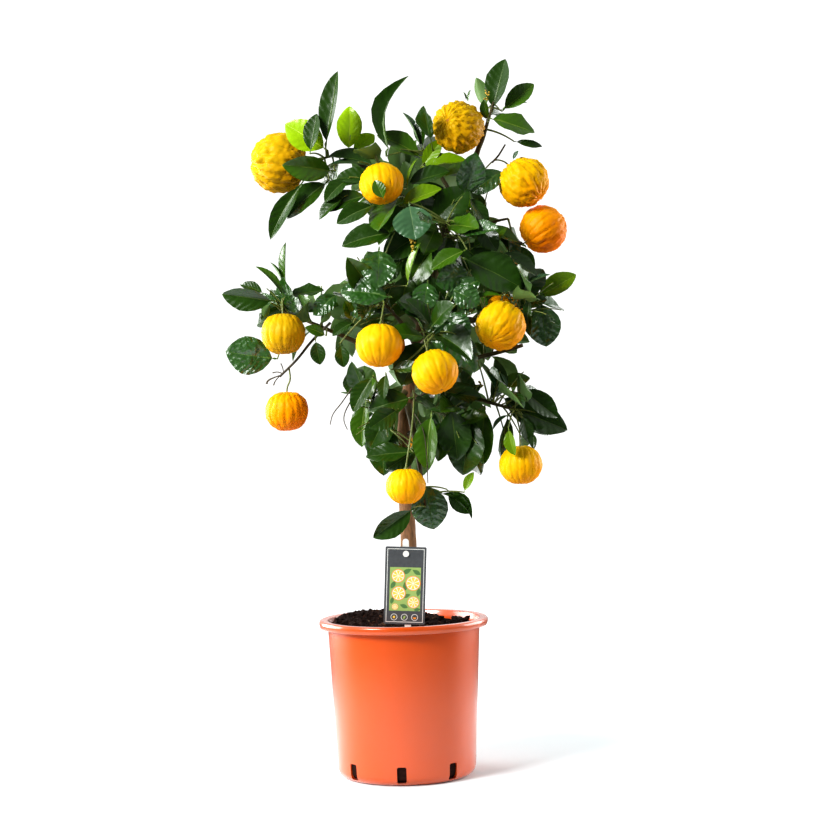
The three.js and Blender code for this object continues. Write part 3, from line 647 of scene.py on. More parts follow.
def ink(outline, name, layer):
    """A flat printed shape with its thickness, on the card's own plane."""
    low, high = CARD_FRONT - INK_SUNK, CARD_FRONT + INK * layer
    count = len(outline)
    start = len(print_verts)
    print_verts.extend(card_place @ Vector((x, y, z)) for z in (low, high) for x, y in outline)
    print_faces.append([start + count + k for k in range(count)])
    print_faces.append([start + k for k in reversed(range(count))])
    for k in range(count):
        after = (k + 1) % count
        print_faces.append([start + k, start + after, start + count + after, start + count + k])
    print_slots.extend([list(INKS).index(name)] * (count + 2))


def box_outline(left, low, right, high):
    return [(left, low), (right, low), (right, high), (left, high)]


def disc(x, y, radius, steps=36, start=0.0, end=2 * math.pi):
    """A disc, or a wedge of one, in millimetres from the peg."""
    wedge = end - start < 6.28
    angles = [start + (end - start) * k / steps for k in range(steps + wedge)]
    tip = [(x * MM, y * MM)] if wedge else []
    return tip + [((x + radius * math.cos(a)) * MM, (y + radius * math.sin(a)) * MM) for a in angles]


def label_leaf(x, y, degrees, length):
    """A pointed leaf about its middle, in millimetres from the peg."""
    way = Vector((math.cos(math.radians(degrees)), math.sin(math.radians(degrees))))
    side = Vector((-way.y, way.x))
    shares = [k / 9 for k in range(10)]
    edge = [PRINTED_LEAF_WIDTH * math.sin(math.pi * s) * (1.15 - 0.4 * s) for s in shares]
    one = [way * (length * (s - 0.5)) + side * (length * w) for s, w in zip(shares, edge)]
    other = [way * (length * (s - 0.5)) - side * (length * w) for s, w in zip(shares, edge)]
    ring = other + one[-2:0:-1]
    return [((x + p.x) * MM, (y + p.y) * MM) for p in ring]


left, low = -CARD_WIDTH / 2 + RULE_INSET, CARD_TOP - CARD_HEIGHT + RULE_INSET
right, high = -left, CARD_TOP - RULE_INSET
for rule in (
    (left, low, right, low + RULE_WIDTH),
    (left, high - RULE_WIDTH, right, high),
    (left, low + RULE_WIDTH, left + RULE_WIDTH, high - RULE_WIDTH),
    (right - RULE_WIDTH, low + RULE_WIDTH, right, high - RULE_WIDTH),
):
    ink(box_outline(*rule), "paper", 1)
ink(box_outline(*PICTURE), "green", 1)
for x, y, degrees, length in LABEL_LEAVES:
    ink(label_leaf(x, y, degrees, length), "leaf", 2)
for x, y, radius in SLICES:
    ink(disc(x, y, radius), "peel", 3)
    ink(disc(x, y, radius * SLICE_PITH), "paper", 4)
    out = SEGMENT_OUT * radius
    for k in range(SEGMENTS):
        turn = 2 * math.pi * k / SEGMENTS
        ends = (turn - SEGMENT_HALF, turn + SEGMENT_HALF)
        tip = (x + out * math.cos(turn), y + out * math.sin(turn))
        ink(disc(*tip, radius * SLICE_FLESH, 5, *ends), "flesh", 5)
for x in CARE_SIGNS:
    ink(disc(x, CARE_SIGN_HEIGHT, CARE_SIGN_RADIUS), "paper", 2)
    ink(disc(x, CARE_SIGN_HEIGHT, CARE_SIGN_RADIUS * CARE_SIGN_INNER), "charcoal", 3)
ink(disc(CARE_SIGNS[0], CARE_SIGN_HEIGHT, SUN_RADIUS), "flesh", 4)
ink(label_leaf(CARE_SIGNS[1], CARE_SIGN_HEIGHT, *SPRIG), "green", 4)
ink(disc(CARE_SIGNS[2], CARE_SIGN_HEIGHT, BOWL_RADIUS, 9, math.pi, 2 * math.pi - 0.001), "peel", 4)
label_print = new_piece("label_print", print_verts, print_faces, list(inks.values()), False, print_slots)
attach(label_print, "root")

card_finish = Finish("card_charcoal", {"Coat Weight": 0.3, "Coat Roughness": 0.25})
card_finish.feed({
    "Base Color": card_finish.mottle(240, 3, *CARD_COLOURS),
    "Roughness": card_finish.grain(90, 2) * 0.15 + 0.4,
})
stake_finish = Finish("stake_white")
stake_finish.feed({
    "Base Color": stake_finish.mottle(80, 3, *STAKE_COLOURS),
    "Roughness": stake_finish.grain(160, 2) * 0.2 + 0.35,
})
for node_name, finish in (("label_card", card_finish), ("label_stake", stake_finish)):
    node_mesh = frame["nodes"][node_name].data
    node_mesh.materials.clear()
    node_mesh.materials.append(finish.material)


# Trunk and boughs
# One young stem, 23 mm thick at the compost, leans right through the crown, and a limb runs from it into
# each mass of leaves. The grey-brown bark is thin and finely cracked. Places are in millimetres here.
TRUNK_LINE = [
    (8, 0, 192.3), (9, 0, 300), (6, 0, 438), (15, 5, 507), (28, 9, 566), (48, 10, 639), (64, 5, 696),
    (84, 0, 745), (107, -5, 798), (121, -8, 832),
]
TRUNK_RADII = (11.6, 2.9)
TRUNK_TAPER = 0.85
ROOT_FLARE = (4.5, 10)
TRUNK_STEPS = 30
BOUGH_RADIUS = 4.8
BOUGH_TAPER = 0.8
BOUGH_COLLAR = (2.2, 7)
STEM_RADII = (2.7, 1.5)
SHORTEST_BOUGH = 0.3
BOUGH_END_STEP = 0.02
LIMB_STEPS = 48
CLEARANCE = 0.3
UP = Vector((0, 0, 1))
HANGING = (0, 0, -1)
# height: where the limb leaves the trunk; heart: where its stem ends; site: the mass's middle, where that
# is elsewhere; arch: the limb's rise, a share of its length; leaf: the usual length; fill: how many leaves
# spiral up the stem; fruit: centre, diameter, way from stalk to tip, peel, and how warty it is.
MASSES = {
    "top_left": {
        "height": 640, "heart": (-88, 0, 806), "site": (-112, 0, 768), "arch": 0.5, "leaf": 82, "fill": 3,
        "fruit": [((-147, 0, 801), 77, (-1, 0, 0.05), "ochre", 0.9)],
    },
    "top_middle": {
        "height": 680, "heart": (-10, -35, 764), "arch": 0.3, "leaf": 86, "fill": 14,
        "fruit": [((-13, -70, 763), 56, (0.2, -0.3, -0.9), "yellow", 0.3)],
    },
    "top_centre": {"height": 742, "heart": (42, -8, 810), "arch": 0.1, "leaf": 72, "fill": 6},
    "tip": {
        "height": None, "heart": (134, -8, 872), "arch": 0, "leaf": 60, "fill": 1,
        "fruit": [((87, -25, 838), 67, (-0.46, -0.87, 0.19), "ochre", 1.0)],
    },
    "right_upper": {
        "height": 690, "heart": (150, 10, 722), "arch": 0.1, "leaf": 66, "fill": 16,
        "fruit": [
            ((171, 0, 768), 65, (0.6, -0.2, -0.75), "yellow", 0.75),
            ((196, 20, 708), 63, (0.79, 0.2, 0.58), "orange", 0.42),
        ],
    },
    "upper_front": {"height": 665, "heart": (68, -62, 712), "arch": 0.12, "leaf": 80, "fill": 18},
    "middle_left": {
        "height": 560, "heart": (-28, -62, 625), "arch": 0.1, "leaf": 84, "fill": 20,
        "fruit": [
            ((-20, -125, 557), 59, (-0.03, -0.2, -0.98), "yellow", 0.25),
            ((-16, -63, 558), 55, HANGING, "orange", 0.2),
        ],
    },
    "left": {
        "height": 530, "heart": (-148, -18, 608), "arch": 0.02, "leaf": 66, "fill": 10,
        "fruit": [
            ((-144, -50, 577), 57, HANGING, "ochre", 0.35),
            ((-142, -45, 478), 55, HANGING, "orange", 0.4),
        ],
    },
    "right": {
        "height": 572, "heart": (170, -44, 598), "arch": 0.04, "leaf": 74, "fill": 14,
        "fruit": [
            ((133, -80, 579), 63, (-0.48, -0.59, -0.66), "yellow", 0.5),
            ((143, 6, 598), 56, HANGING, "orange", 0.3),
        ],
    },
    "front": {
        "height": 545, "heart": (50, -92, 572), "arch": 0.1, "leaf": 80, "fill": 20,
        "fruit": [((48, -135, 522), 58, (0.3, -0.4, -0.85), "yellow", 0.3)],
    },
    "low_left": {"height": 500, "heart": (-22, -36, 458), "arch": 0.15, "leaf": 86, "fill": 12},
    "low_right": {
        "height": 520, "heart": (150, -30, 472), "arch": -0.02, "leaf": 82, "fill": 10,
        "fruit": [((155, -55, 402), 55, HANGING, "yellow", 0.3)],
    },
    "low_middle": {"height": 497, "heart": (80, -38, 452), "arch": 0.04, "leaf": 84, "fill": 12},
    "skirt": {
        "height": 485, "heart": (32, -64, 352), "arch": 0.2, "leaf": 68, "fill": 0,
        "fruit": [((8, -95, 380), 50, HANGING, "yellow", 0.2)],
    },
    "back_top": {"height": 705, "heart": (30, 70, 768), "arch": 0.15, "leaf": 84, "fill": 17},
    "back_upper": {
        "height": 655, "heart": (92, 85, 690), "arch": 0.1, "leaf": 80, "fill": 18,
        "fruit": [((72, 130, 676), 58, HANGING, "yellow", 0.5)],
    },
    "back_left": {
        "height": 585, "heart": (-20, 85, 625), "arch": 0.12, "leaf": 82, "fill": 17,
        "fruit": [((-22, 128, 585), 57, HANGING, "orange", 0.3)],
    },
    "back_middle": {"height": 565, "heart": (62, 112, 582), "arch": 0.1, "leaf": 80, "fill": 17},
    "back_right": {
        "height": 592, "heart": (128, 62, 590), "arch": 0.08, "leaf": 76, "fill": 15,
        "fruit": [((141, 94, 580), 57, HANGING, "yellow", 0.8)],
    },
    "back_low": {
        "height": 520, "heart": (42, 72, 475), "arch": 0.12, "leaf": 84, "fill": 18,
        "fruit": [((20, 108, 448), 56, HANGING, "yellow", 0.2)],
    },
}
BARE_LIMB = {"height": 530, "end": (161, -58, 554), "arch": -0.05, "radii": (4, 2.4), "steps": 40}


def centripetal(points, steps):
    """The smooth line through the points, as three.js draws its centripetal Catmull-Rom curve."""
    points = [Vector(p) for p in points]
    points = [2 * points[0] - points[1], *points, 2 * points[-1] - points[-2]]
    line = []
    for a, b, c, d in zip(points, points[1:], points[2:], points[3:]):
        ab, bc, cd = ((q - p).length ** 0.5 for p, q in ((a, b), (b, c), (c, d)))
        start = ((b - a) / ab - (c - a) / (ab + bc) + (c - b) / bc) * bc
        end = ((c - b) / bc - (d - b) / (bc + cd) + (d - c) / cd) * bc
        for k in range(steps):
            t = k / steps
            back = (2 * t - 3) * t * t
            line.append(b * (back + 1) - c * back + start * t * (1 - t) ** 2 + end * t * t * (t - 1))
    return [*line, points[-2]]


def shares_along(line):
    """How far along the line each of its points lies, from 0 to 1, and the line's length."""
    steps = [(b - a).length for a, b in zip(line, line[1:])]
    walked = np.concatenate([[0], np.cumsum(steps)])
    return walked / walked[-1], walked[-1]


def taper(start, end, share, power=1.0):
    return end + (start - end) * (1 - share) ** power


def tapered(line, radii):
    """A line and its radius at each point, from one radius to the other."""
    last = len(line) - 1
    return line, [taper(*radii, k / last) for k in range(last + 1)]


def bend(start, end, arch):
    """A bend between two points, off the straight line by a share of its length: a quadratic curve."""
    return start, (start + end) / 2 + UP * arch * (end - start).length, end


def point_on(curve, share):
    a, b, c = curve
    return a * (1 - share) ** 2 + b * (2 * share * (1 - share)) + c * share * share


def heading(curve, share):
    a, b, c = curve
    return ((b - a) * (1 - share) + (c - b) * share).normalized()


def stretch(curve, start, end):
    """The part of a curve between two shares of it."""
    a, b, c = curve
    middle = a.lerp(b, start).lerp(b.lerp(c, start), end)
    return point_on(curve, start), middle, point_on(curve, end)


def drawn(curve, steps):
    return [point_on(curve, k / steps) for k in range(steps + 1)]


trunk_line = centripetal(TRUNK_LINE, TRUNK_STEPS)
trunk_shares, trunk_length = shares_along(trunk_line)
trunk_radii = [
    taper(*TRUNK_RADII, share, TRUNK_TAPER) + ROOT_FLARE[0] * math.exp(-share * trunk_length / ROOT_FLARE[1])
    for share in trunk_shares
]


def trunk_at(height):
    """The trunk's middle at a height, or its tip."""
    if height is None:
        return trunk_line[-1].copy()
    for low, high in zip(trunk_line, trunk_line[1:]):
        if high.z >= height:
            return low.lerp(high, (height - low.z) / (high.z - low.z))
    return trunk_line[-1].copy()


sites = np.array([mass.get("site", mass["heart"]) for mass in MASSES.values()], float)


def own_depth(index, points):
    """How deep each point lies in a mass's own space: what is nearer to its site than to any other's."""
    points = np.atleast_2d(np.array(points, float))
    others = np.delete(sites, index, axis=0)
    own = sites[index]
    far = ((points[:, None] - others) ** 2).sum(2) - ((points - own) ** 2).sum(1)[:, None]
    return (far / (2 * np.linalg.norm(others - own, axis=1))).min(1)


wood = []
for index, mass in enumerate(MASSES.values()):
    limb = bend(trunk_at(mass["height"]), Vector(mass["heart"]), mass["arch"])
    enters = 1.0
    while enters > SHORTEST_BOUGH:
        before = point_on(limb, enters - BOUGH_END_STEP)
        if own_depth(index, before)[0] <= BOUGH_RADIUS:
            break
        enters -= BOUGH_END_STEP
    if mass["height"] is None:
        enters = 0.0
    mass["stem"] = stretch(limb, enters, 1)
    line = drawn(limb, LIMB_STEPS)
    shares, length = shares_along(line)
    radii = []
    for share in shares:
        if share < enters:
            radius = taper(BOUGH_RADIUS, STEM_RADII[0], share / enters, BOUGH_TAPER)
        else:
            radius = taper(*STEM_RADII, (share - enters) / (1 - enters))
        radii.append(radius + BOUGH_COLLAR[0] * math.exp(-share * length / BOUGH_COLLAR[1]) * (enters > 0))
    wood.append((line, radii))
bare_limb = bend(trunk_at(BARE_LIMB["height"]), Vector(BARE_LIMB["end"]), BARE_LIMB["arch"])
wood.append(tapered(drawn(bare_limb, BARE_LIMB["steps"]), BARE_LIMB["radii"]))


def tube_group():
    """Round tubes along lines of vertices, each with its own radius, with relief along their normals."""
    group, nodes, inputs = node_group("tubes", {
        "Sides": "Int", "Relief": "Float", "Grain": "Float", "Drawn Out": "Float", "Finish": "Material",
    })
    lines = nodes.add("GeometryNodeMeshToCurve", sockets={"Mesh": inputs["Geometry"]})
    radius = nodes.add("GeometryNodeInputNamedAttribute", {"data_type": "FLOAT"}, {"Name": "thickness"})
    ring = nodes.add("GeometryNodeCurvePrimitiveCircle", sockets={
        "Resolution": inputs["Sides"], "Radius": 1.0,
    })
    smooth_tubes = nodes.add("GeometryNodeCurveToMesh", sockets={
        "Curve": lines, "Profile Curve": ring, "Scale": radius, "Fill Caps": True,
    })
    place = nodes.add("GeometryNodeInputPosition")
    size = nodes.add("ShaderNodeCombineXYZ", sockets={0: 1.0, 1: 1.0, 2: inputs["Drawn Out"]})
    place = nodes.add("ShaderNodeVectorMath", {"operation": "MULTIPLY"}, {0: place, 1: size})
    rough = nodes.add("ShaderNodeTexNoise", sockets={
        "Vector": place, "Scale": inputs["Grain"], "Detail": 4.0,
    })
    normal = nodes.add("GeometryNodeInputNormal")
    lift = nodes.add("ShaderNodeVectorMath", {"operation": "SCALE"}, {
        0: normal, 3: (rough - 0.5) * inputs["Relief"],
    })
    rough_tubes = nodes.add("GeometryNodeSetPosition", sockets={"Geometry": smooth_tubes, "Offset": lift})
    smooth = nodes.add("GeometryNodeSetShadeSmooth", sockets={"Geometry": rough_tubes})
    real = nodes.add("GeometryNodeRealizeInstances", sockets={"Geometry": smooth})
    done = nodes.add("GeometryNodeSetMaterial", sockets={"Geometry": real, "Material": inputs["Finish"]})
    nodes.plug(nodes.output.inputs[0], done)
    return group


tube_maker = tube_group()


def mark(mesh, name, kind, domain, values):
    """Gives each point, edge or face of a mesh its own value of this name."""
    field = "vector" if kind == "FLOAT_VECTOR" else "value"
    mesh.attributes.new(name, kind, domain).data.foreach_set(field, values)


def tubes(name, lines, finish, sides, relief=0.0, grain=100.0, drawn_out=1.0):
    """One piece of tubes from lines of points and their radii, in millimetres."""
    verts, edges, thickness = [], [], []
    for line, radii in lines:
        edges += [(len(verts) + k, len(verts) + k + 1) for k in range(len(line) - 1)]
        verts += [tuple(p * MM) for p in line]
        thickness += [r * MM for r in radii]
    mesh = bpy.data.meshes.new(name)
    mesh.from_pydata(verts, edges, [])
    mark(mesh, "thickness", "FLOAT", "POINT", thickness)
    return grown(put(name, mesh), tube_maker, {
        "Sides": sides, "Relief": relief, "Grain": grain, "Drawn Out": drawn_out, "Finish": finish.material,
    }, name)


YOUNG_WOOD = (520 * MM, 640 * MM)
OLD_BARK = (srgb(120, 86, 58), srgb(156, 114, 80))
YOUNG_BARK = srgb(74, 76, 46)
CRACKED_BARK = srgb(92, 70, 50)
BOUGH_BARK = (srgb(62, 56, 38), srgb(96, 88, 56))
bark = Finish("bark", {"Specular IOR Level": 0.25})
place = bark.add("ShaderNodeTexCoord", output="Object")
height = bark.add("ShaderNodeSeparateXYZ", sockets={0: place}, output="Z")
young = bark.add("ShaderNodeMapRange", sockets={
    "Value": height, "From Min": YOUNG_WOOD[0], "From Max": YOUNG_WOOD[1],
})
old = bark.mix(bark.grain(55, 4, (1, 1, 3)), *OLD_BARK)
weathered = bark.mix(young, old, YOUNG_BARK)
crack = bark.grain(420, 4, (1, 1, 5))
bark.feed({
    "Base Color": bark.mix((crack - 0.2) * 2.0, CRACKED_BARK, weathered),
    "Roughness": crack * 0.2 + 0.7,
})
bark.bump(crack, 0.9 * MM, 0.8)
young_bark = Finish("young_bark", {"Specular IOR Level": 0.25, "Roughness": 0.65})
streaks = young_bark.grain(160, 4, (1, 1, 3))
young_bark.feed({"Base Color": young_bark.mix(streaks, *BOUGH_BARK)})
young_bark.bump(streaks, 0.5 * MM, 0.5)
trunk = tubes("trunk_bark", [(trunk_line, trunk_radii)], bark, sides=40,
              relief=1.5 * MM, grain=260.0, drawn_out=0.3)
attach(trunk, "root")
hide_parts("trunk")
boughs = tubes("boughs_bark", wood, young_bark, sides=14, relief=0.8 * MM, grain=330.0)
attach(boughs, "root")
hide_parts(*[name for name in frame["nodes"] if name.startswith("bough_")])


# Fruit
# Ribbed bitter oranges, 50 to 77 mm across, a little flattened, with 13 to 18 wandering ribs from stalk
# to tip and warty oily peel. Each hangs on a green stalk that widens into a small calyx.
RIBS = (13, 18)
RIB_DEPTH = 0.085
RIB_LEAST = 0.35
RIB_BY_WART = 0.9
RIB_USUAL = 0.8
RIB_SHARPNESS = 2.4
RIB_SWAY = 3
RIB_FADE = 2.2
LUMP_LEVEL = 0.4
WARTS_DRAWN_OUT = 0.45
# How strong and how fine each unevenness is.
RIB_WANDER = (0.4, 1.3)
RIB_UNEVEN = (0.5, 1.1)
WARTS = (0.09, 5)
LUMPS = (0.4, 5.5)
PORES = (0.007, 15)
LOPSIDED = (0.02, 0.9)
BLUSH_PATCHES = (0.35, 2.2)
FLATTENED = (0.9, 0.98)
# How deep each end is drawn in, and how far round.
STALK_DIMPLE = (0.09, 0.42)
TIP_DIMPLE = (0.05, 0.3)
FRUIT_TURN = 112
FRUIT_RINGS = 56
# Painted shade: the peel goes from its light to its deep colour along a fixed way, down and to the right,
# away from the key light. Each fruit is painted yellower on its lit side and oranger on its shaded side.
# Noise adds real patches of ripeness to it.
BLUSH_AND_PAINTED_SHADE = (0.5, 0.8)
PAINTED_SHADE_WAY = Vector((0.55, 0.25, -0.8)).normalized()
# Each peel's light and deep colour. The deep one also serves as painted shade on the side away from the key
# light.
PEELS = {
    "yellow": (srgb(236, 194, 8), srgb(248, 160, 2)),
    "ochre": (srgb(214, 176, 14), srgb(198, 144, 6)),
    "orange": (srgb(250, 172, 0), srgb(248, 128, 0)),
}
DULL_PEEL = srgb(180, 92, 0)
DULL_SHARE = 0.35
TIP_SCAR = srgb(190, 128, 20)
GLANDS = 620.0
GLAND_DEPTH = 0.05 * MM
STALK_RADIUS = 1.1
STALK_SUNK = 4
STALK_HANG = 18
STALK_BEND = 0.6
STALK_STEPS = 14
STALK_ARCH = 0.1
STALK_TWIG_STEPS = 12
CALYX = (2.2, 3.2, 2.6)
# How the stalks run that show in the photograph, from the twig to the fruit, by the fruit's centre.
SEEN_STALKS = {
    (171, 0, 768): ((104, -3, 776), (117, -2, 783), (134, -4, 797), (146, -3, 795)),
    (196, 20, 708): ((122, 10, 706), (136, 12, 694), (152, 13, 688), (166, 14, 688)),
    (-20, -125, 557): ((-22, -80, 622), (-14, -100, 612), (-15, -115, 599)),
    (-142, -45, 478): ((-138, -47, 534), (-137, -46, 518), (-141, -45, 508)),
    (8, -95, 380): ((20, -30, 500), (21, -62, 488), (17, -84, 450), (11, -94, 416)),
}


def flattened(wart):
    """Smooth fruit are flatter than warty ones."""
    return between(FLATTENED, min(1, wart * 2))


def noise_at(kind, place, chance):
    """Noise of one strength and fineness at a place, shifted by chance for each fruit."""
    return kind[0] * noise.noise(place * kind[1] + chance)


def fruit_mesh(fruit, seed):
    """Points, faces, ripeness with painted shade, and tip scar of one fruit. Its rings run from the stalk's
    end to the tip.
    """
    wart = fruit["wart"]
    turned = Vector((0, 0, -1)).rotation_difference(fruit["way"])
    chance = Vector((seed * 3.7, seed * 1.9, seed * 5.1))
    ribs = RIBS[0] + seed * 5 % (RIBS[1] - RIBS[0] + 1)
    verts, ripeness_and_shade = [], []
    for i in range(FRUIT_RINGS + 1):
        polar = math.pi * i / FRUIT_RINGS
        dimple = STALK_DIMPLE[0] * math.exp(-((polar / STALK_DIMPLE[1]) ** 2))
        dimple += TIP_DIMPLE[0] * math.exp(-(((math.pi - polar) / TIP_DIMPLE[1]) ** 2))
        for k in range(FRUIT_TURN if 0 < i < FRUIT_RINGS else 1):
            azimuth = 2 * math.pi * k / FRUIT_TURN
            out = math.sin(polar)
            p = Vector((out * math.cos(azimuth), out * math.sin(azimuth), math.cos(polar)))
            wander = noise_at(RIB_WANDER, p, chance) * (RIB_LEAST + wart)
            groove = (1 - abs(math.sin((ribs * azimuth) / 2 + wander * RIB_SWAY))) ** RIB_SHARPNESS
            uneven = RIB_USUAL + noise_at(RIB_UNEVEN, p, chance * 2)
            rib = RIB_DEPTH * (RIB_LEAST + RIB_BY_WART * wart) * groove * uneven * min(1, out * RIB_FADE)
            long = Vector((p.x, p.y, p.z * WARTS_DRAWN_OUT))
            lump = LUMP_LEVEL - noise.voronoi(long * LUMPS[1] + chance)[0][0]
            warts = noise.fractal(long * WARTS[1] + chance, 0.7, 2.2, 4)
            rough = WARTS[0] * wart * (warts + lump * LUMPS[0])
            size = 1 - rib + rough + noise_at(PORES, p, chance)
            size *= 1 + noise_at(LOPSIDED, p, chance)
            p = Vector((p.x * size, p.y * size, p.z * size * flattened(wart) * (1 - dimple)))
            placed = turned @ p
            # Painted shade: the part turned away from the key light gets the deep colour, and the noise adds
            # real ripeness patches.
            ripe_and_shaded = BLUSH_AND_PAINTED_SHADE[0] + BLUSH_AND_PAINTED_SHADE[1] * placed.dot(PAINTED_SHADE_WAY) + noise_at(BLUSH_PATCHES, placed, chance)
            ripeness_and_shade.append(min(1, max(0, ripe_and_shaded)))
            verts.append((fruit["centre"] + placed * fruit["radius"]) * MM)
    faces = [(face[0], *face[:0:-1]) for face in ring_faces(FRUIT_RINGS - 1, FRUIT_TURN)]
    scar = [0] * (len(faces) - FRUIT_TURN) + [1] * FRUIT_TURN
    return verts, faces, ripeness_and_shade, scar


def peel_finish(name):
    """Peel in two colours blended by how far each spot has ripened and by painted shade, deeper on the side
    away from the key light, pitted with oil glands.
    """
    light, deep = PEELS[name]
    made = Finish("peel_" + name, {"Specular IOR Level": 0.1})
    # The blend of the two colours carries painted shade as well as ripeness.
    ripe_and_shaded = made.add("ShaderNodeAttribute", {"attribute_name": "ripeness_and_shade"}, output="Fac")
    glands = made.add("ShaderNodeTexVoronoi", sockets={
        "Vector": made.add("ShaderNodeTexCoord", output="Object"), "Scale": GLANDS,
    })
    colour = made.mix(ripe_and_shaded, light, deep)
    dull = made.mix(DULL_SHARE, deep, DULL_PEEL)
    made.feed({
        "Base Color": made.mix(made.grain(90, 4) * DULL_SHARE, colour, dull),
        "Roughness": glands * 0.15 + 0.36,
    })
    made.bump(glands, GLAND_DEPTH, 0.1)
    return made


fruits = []
for mass in MASSES.values():
    for centre, diameter, way, peel, wart in mass.get("fruit", []):
        fruits.append({
            "mass": mass, "centre": Vector(centre), "radius": diameter / 2, "way": Vector(way).normalized(),
            "peel": peel, "wart": wart,
        })
scar_finish = Finish("fruit_scar", {"Base Color": TIP_SCAR, "Roughness": 0.7})
for peel in PEELS:
    verts, faces, ripeness_and_shade, slots = [], [], [], []
    for number, fruit in enumerate(fruits):
        if fruit["peel"] == peel:
            made = fruit_mesh(fruit, number + 1)
            start = len(verts)
            verts += made[0]
            faces += [tuple(start + v for v in face) for face in made[1]]
            ripeness_and_shade += made[2]
            slots += made[3]
    skin = new_piece("fruit_" + peel, verts, faces, [peel_finish(peel), scar_finish], True, slots)
    mark(skin.data, "ripeness_and_shade", "FLOAT", "POINT", ripeness_and_shade)
    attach(skin, "root")


# Twigs and leaves
# From each limb's stem grow twigs and leaves by the same seeded rule as in the solids, carried on to finer
# shoots. The leaves are glossy, leathery and pointed, with a pale midrib, a dull underside and a stalk
# winged below its joint; the youngest are thin and yellow-green.

# Bare and dried twigs that the photograph shows: points, and the radii at their ends.
SEEN_TWIGS = [
    (((-84, -34, 590), (-108, -40, 567), (-128, -46, 543), (-150, -50, 522)), (1.8, 1.5)),
    (((-145, -49, 528), (-146, -51, 534), (-148, -52, 539)), (0.6, 0.8)),
    (((-146, -50, 526), (-153, -52, 528), (-159, -52, 527)), (0.6, 0.8)),
    (((-148, -50, 524), (-157, -52, 521), (-165, -52, 517), (-167, -52, 513)), (0.7, 1.4)),
    (((-150, -50, 523), (-156, -50, 516), (-158, -51, 511)), (0.6, 0.9)),
    (((-58, -48, 505), (-72, -52, 486), (-83, -54, 472), (-87, -54, 459)), (0.9, 0.6)),
    (((-58, -49, 492), (-68, -52, 473), (-69, -54, 463), (-65, -54, 452)), (0.9, 0.6)),
    (((130, -4, 794), (138, -5, 802), (148, -6, 817)), (1.4, 1.1)),
    (((20, -8, 487), (42, -22, 500), (67, -40, 502), (108, -50, 505)), (1.6, 0.9)),
    (((19, -56, 474), (31, -68, 452), (35, -72, 424), (36, -64, 382)), (0.8, 0.6)),
    (((11, -4, 444), (18, -13, 446), (26, -18, 446)), (3.2, 2.6)),
    (((120, -40, 542), (128, -46, 562), (124, -50, 580)), (0.8, 0.5)),
    (((122, -44, 556), (112, -48, 566), (106, -50, 580)), (0.6, 0.4)),
    (((120, 10, 708), (136, 12, 695), (152, 13, 689), (168, 14, 690)), (2.2, 1.9)),
]
# Small clusters of buds at the joints: centre and size.
BUDS = [
    ((24, -98, 688), 8), ((24, -96, 678), 7), ((125, -22, 882), 6),
    ((124, -20, 874), 5), ((128, -22, 630), 6), ((108, -44, 506), 7),
]
BUD_SIZE = 0.2
BUDS_IN_A_CLUSTER = 8
BUD_SEED = 4411
BUD_COLOURS = ((214, 170, 60), (120, 120, 40))
GREEN_WOOD = ((88, 104, 44), (122, 132, 62))
BROWN_WOOD = ((52, 46, 34), (96, 88, 70))
